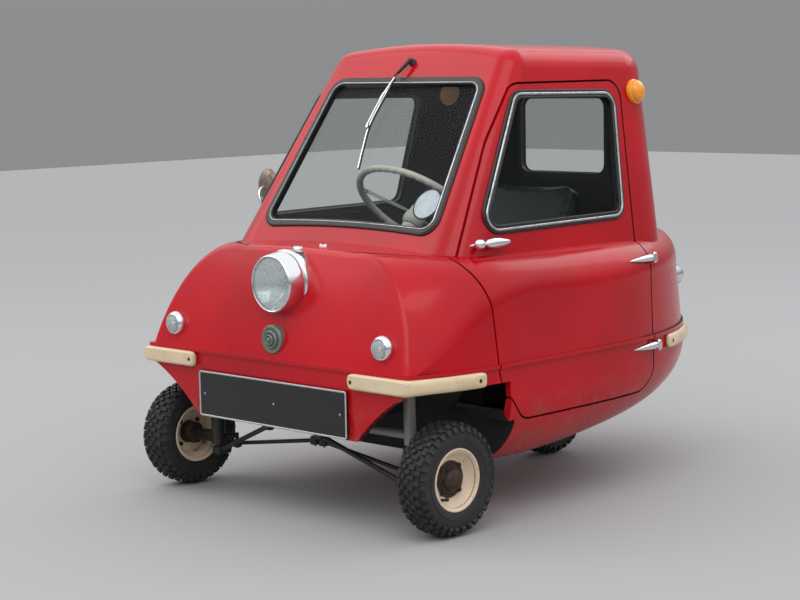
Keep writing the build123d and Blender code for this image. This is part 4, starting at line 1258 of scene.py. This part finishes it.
makeRearLamps()
both(makeIndicator)
print("stage: rear lamps")


steering = {
    "centre": (0, -0.17, 0.68), "lean": math.radians(40.9), "radius": 0.165, "tube": 0.0092, "scallops": 44
}


def makeSteeringWheel():
    along = Vector((0, math.sin(steering["lean"]), math.cos(steering["lean"])))
    place = placeAt(steering["centre"], along, (1, 0, 0))
    big, tube = steering["radius"], steering["tube"]
    circle = [(big + tube * math.cos(math.tau * k / 14), tube * math.sin(math.tau * k / 14)) for k in range(14)]
    bm = bmesh.new()
    addTurned(bm, circle, closed=True, steps=264)
    for v in bm.verts:  # finger grips under the rim
        low = max(0.0, -(v.co.z / tube))
        turn = math.atan2(v.co.y, v.co.x)
        v.co.z += low * 0.0024 * (0.5 + 0.5 * math.cos(turn * steering["scallops"]))
    addTurned(
        bm,
        [
            (0.0, 0.007), (0.014, 0.0064), (0.019, 0.003), (0.0205, -0.003), (0.0215, -0.012), (0.0255, -0.022),
            (0.0275, -0.032), (0.026, -0.042), (0.02, -0.048), (0.0105, -0.049), (0.0, -0.049)
        ],
        steps=48
    )
    settle("steeringRim", bm, "offWhiteGrip", "steering", place, replaced=["steering_wheel"])
    bm = bmesh.new()
    for arm in range(3):
        turn = Matrix.Rotation(math.radians(90 + 120 * arm), 4, "Z")
        for side in (-1, 1):
            addBar(
                bm, place @ turn @ Vector((0.016, side * 0.004, -0.014)),
                place @ turn @ Vector((big - 0.002, side * 0.0075, -0.001)), 0.002, sides=12
            )
        addBar(
            bm, place @ turn @ Vector((big - 0.02, -0.0072, -0.003)),
            place @ turn @ Vector((big - 0.02, 0.0072, -0.003)), 0.0016, sides=10
        )
    settle("steeringSpokes", bm, "brushedMetal", "steering")
    bm = bmesh.new()  # column shroud and stalk
    foot = Vector(steering["centre"]) - along * 0.15
    addBar(bm, foot, Vector(steering["centre"]) - along * 0.052, 0.0165, 0.0205, sides=32)
    addBar(
        bm, Vector(steering["centre"]) - along * 0.075,
        Vector(steering["centre"]) - along * 0.07 + Vector((0.085, -0.004, 0.014)), 0.0036, 0.0045
    )
    addTurned(
        bm, [(0.0, 0.008), (0.005, 0.0062), (0.0072, 0.0), (0.005, -0.0062), (0.0, -0.008)],
        placeAt(Vector(steering["centre"]) - along * 0.07 + Vector((0.09, -0.004, 0.0148)), (1, 0, 0.1)),
        steps=20
    )
    settle("columnShroud", bm, "offWhiteGrip", "steering")


makeSteeringWheel()
print("stage: steering wheel")


# where the painted shade skin lies inside the shells
shadeSkin = {
    "offset": 0.0009, "facing": 0.01, "middleY": -0.03, "middleLow": 0.4, "middleHigh": 0.85,
    "front": -0.64, "back": 0.67, "floor": 0.09, "wide": 0.462, "turnedIn": 0.25,
}
arches = {
    "front": -0.652, "back": -0.35, "top": 0.334, "middle": (0.4, -0.5, 0.16), "facing": 0.012,
    "axle": (0.3, 0.128), "slotWide": 0.07, "slotReach": 0.15, "coverWide": 0.085, "coverReach": 0.19,
    "coverLow": 0.16
}


def makeShadeSkin(name, source, body, inside):
    # painted shade: a near-black skin on the faces of a shell that look into the cabin, standing for the shade
    # there
    bm = mergedCopy(source)
    drop = [f for f in bm.faces if not inside(f.calc_center_median(), f.normal)]
    bmesh.ops.delete(bm, geom=drop, context="FACES")
    for v in bm.verts:
        v.co += v.normal * shadeSkin["offset"]
    for face in bm.faces:
        face.smooth = False
    piece = linked(name, bm)
    piece.data.materials.append(finish("paintedShadeSkin"))
    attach(piece, body)


def looksIn(centre, normal):
    # towards the middle of the cabin, and within it
    level = max(shadeSkin["middleLow"], min(shadeSkin["middleHigh"], centre.z))
    span = shadeSkin["front"] < centre.y < shadeSkin["back"] and centre.z > shadeSkin["floor"]
    inward = normal.x * math.copysign(1, centre.x) < -shadeSkin["turnedIn"]
    facing = normal.dot(Vector((0, shadeSkin["middleY"], level)) - centre) > shadeSkin["facing"]
    return span and facing and (inward or abs(centre.x) < shadeSkin["wide"])


def underArch(centre, normal):
    # the wheel bays in front, and the rear wheel's slot, which get painted shade
    if arches["front"] < centre.y < arches["back"] and centre.z < arches["top"] and abs(
        centre.x
    ) < shadeSkin["wide"]:
        x, y, z = arches["middle"]
        return normal.dot(Vector((math.copysign(x, centre.x), y, z)) - centre) > arches["facing"]
    toAxle = Vector((0, arches["axle"][0] - centre.y, arches["axle"][1] - centre.z))
    slot = abs(centre.x) < arches["slotWide"] and toAxle.length < arches["slotReach"]
    cover = abs(centre.x) < arches["coverWide"] and toAxle.length < arches["coverReach"]
    facing = normal.dot(toAxle)
    return (slot and facing > 0) or (cover and centre.z > arches["coverLow"] and facing < 0)


def shadedLower(centre, normal):
    return looksIn(centre, normal) or underArch(centre, normal)


# painted shade: dark skins in the cabin, the door and the wheel bays
makeShadeSkin("shadeSkinUpper", "upper_shell", "root", looksIn)
makeShadeSkin("shadeSkinLower", "lower_shell", "root", shadedLower)
makeShadeSkin("shadeSkinDoor", "door_panel", "door", looksIn)
print("stage: lining")


padding = {"shrink": 0.0045, "voxel": 0.005, "pressure": 4.0, "cap": 0.01, "frames": 20}


def makePad(name, source):
    # a stuffed pad: the solid drawn in, blown up as cloth, and held near its place
    bm = mergedCopy(source)
    middle = sum((v.co for v in bm.verts), Vector()) / len(bm.verts)
    half = Vector(max(abs(v.co[i] - middle[i]) for v in bm.verts) for i in range(3))
    for v in bm.verts:
        v.co = middle + Vector((v.co[i] - middle[i]) * (1 - padding["shrink"] / half[i]) for i in range(3))
    pad = linked(name, bm)
    pad.modifiers.new("evenOut", "REMESH").voxel_size = padding["voxel"]
    bakeIn(pad)
    rest = [v.co.copy() for v in pad.data.vertices]
    cloth = pad.modifiers.new("blowUp", "CLOTH")
    cloth.settings.use_pressure = True
    cloth.settings.uniform_pressure_force = padding["pressure"]
    cloth.settings.effector_weights.gravity = 0.0
    scene = bpy.context.scene
    for step in range(1, padding["frames"] + 1):
        scene.frame_set(step)
    bakeIn(pad)
    scene.frame_set(1)
    for v, start in zip(pad.data.vertices, rest):
        gone = v.co - start
        if gone.length > padding["cap"]:
            v.co = start + gone.normalized() * padding["cap"]
    pad.modifiers.new("smoothOver", "SUBSURF").levels = 1
    bakeIn(pad)
    for face in pad.data.polygons:
        face.use_smooth = True
    pad.data.materials.append(finish("greenVinyl"))
    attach(pad, "root")
    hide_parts(source)


makePad("seatPadCushion", "seat_cushion")
makePad("seatPadBack", "seat_back")
print("stage: seats")


studio = {
    "floorColour": (0.38, 0.38, 0.385),
    "backColour": (0.66, 0.67, 0.68),
    "lowSky": 0.4, "highSky": 1.75, "skyFrom": 0.0, "skyTo": 0.55,
    "floorHalf": 14,
    "keyPower": 78, "keySize": 4.0,
    "fillPower": 30, "fillSize": 3.0,
}


def makeStage():
    bm = bmesh.new()
    bmesh.ops.create_grid(bm, x_segments=1, y_segments=1, size=studio["floorHalf"])
    floor = linked("studioFloor", bm)
    m = Finish("studioFloorFinish")
    m.skin(Base_Color=studio["floorColour"], Roughness=0.75)
    floor.data.materials.append(m.mat)
    world = bpy.data.worlds.new("studioWorld")
    world.use_nodes = True
    back = world.node_tree.nodes["Background"]
    back.inputs["Color"].default_value = studio["backColour"] + (1,)
    seen = world.node_tree.nodes.new("ShaderNodeTexCoord")
    parts = world.node_tree.nodes.new("ShaderNodeSeparateXYZ")
    rise = world.node_tree.nodes.new("ShaderNodeMapRange")
    rise.interpolation_type = "SMOOTHSTEP"
    for socket, key in (
        ("From Min", "skyFrom"), ("From Max", "skyTo"), ("To Min", "lowSky"), ("To Max", "highSky")
    ):
        rise.inputs[socket].default_value = studio[key]
    world.node_tree.links.new(seen.outputs["Generated"], parts.inputs[0])
    world.node_tree.links.new(parts.outputs["Z"], rise.inputs["Value"])
    world.node_tree.links.new(rise.outputs["Result"], back.inputs["Strength"])
    bpy.context.scene.world = world
    for name, place, kind in (
        ("keyLamp", (2.2, -3.2, 4.6), "key"), ("fillLamp", (-3.6, -2.0, 3.6), "fill"),
        ("backLamp", (0.5, 4.2, 3.8), "fill")
    ):
        power, size = studio[kind + "Power"], studio[kind + "Size"]
        lamp = bpy.data.lights.new(name, "AREA")
        lamp.energy, lamp.size = power, size
        lampObject = bpy.data.objects.new(name, lamp)
        lampObject.location = place
        lampObject.rotation_euler = (Vector((0, 0, 0.5)) - Vector(place)).to_track_quat("-Z", "Y").to_euler()
        bpy.context.collection.objects.link(lampObject)


shot = {
    "place": (3.4489, -3.6906, 1.0441), "turn": 0.78559, "down": 0.118666, "roll": -0.019025, "lens": 90.086
}


def makeCamera():
    ahead = Vector((-math.sin(shot["turn"]), math.cos(shot["turn"]), 0))
    side = Vector((math.cos(shot["turn"]), math.sin(shot["turn"]), 0))
    up = Vector((0, 0, 1))
    sight = ahead * math.cos(shot["down"]) - up * math.sin(shot["down"])
    top = up * math.cos(shot["down"]) + ahead * math.sin(shot["down"])
    right = side * math.cos(shot["roll"]) + top * math.sin(shot["roll"])
    above = top * math.cos(shot["roll"]) - side * math.sin(shot["roll"])
    camera = bpy.data.cameras.new("mainCamera")
    camera.lens, camera.sensor_width, camera.sensor_fit = shot["lens"], 36, "HORIZONTAL"
    view = bpy.data.objects.new("mainCamera", camera)
    turn = Matrix((right, above, -sight)).transposed()
    view.matrix_world = Matrix.Translation(shot["place"]) @ turn.to_4x4()
    bpy.context.collection.objects.link(view)
    bpy.context.scene.camera = view


makeStage()
makeCamera()
bpy.context.scene.view_settings.view_transform = "Standard"
print("stage: floor, lamps and camera")
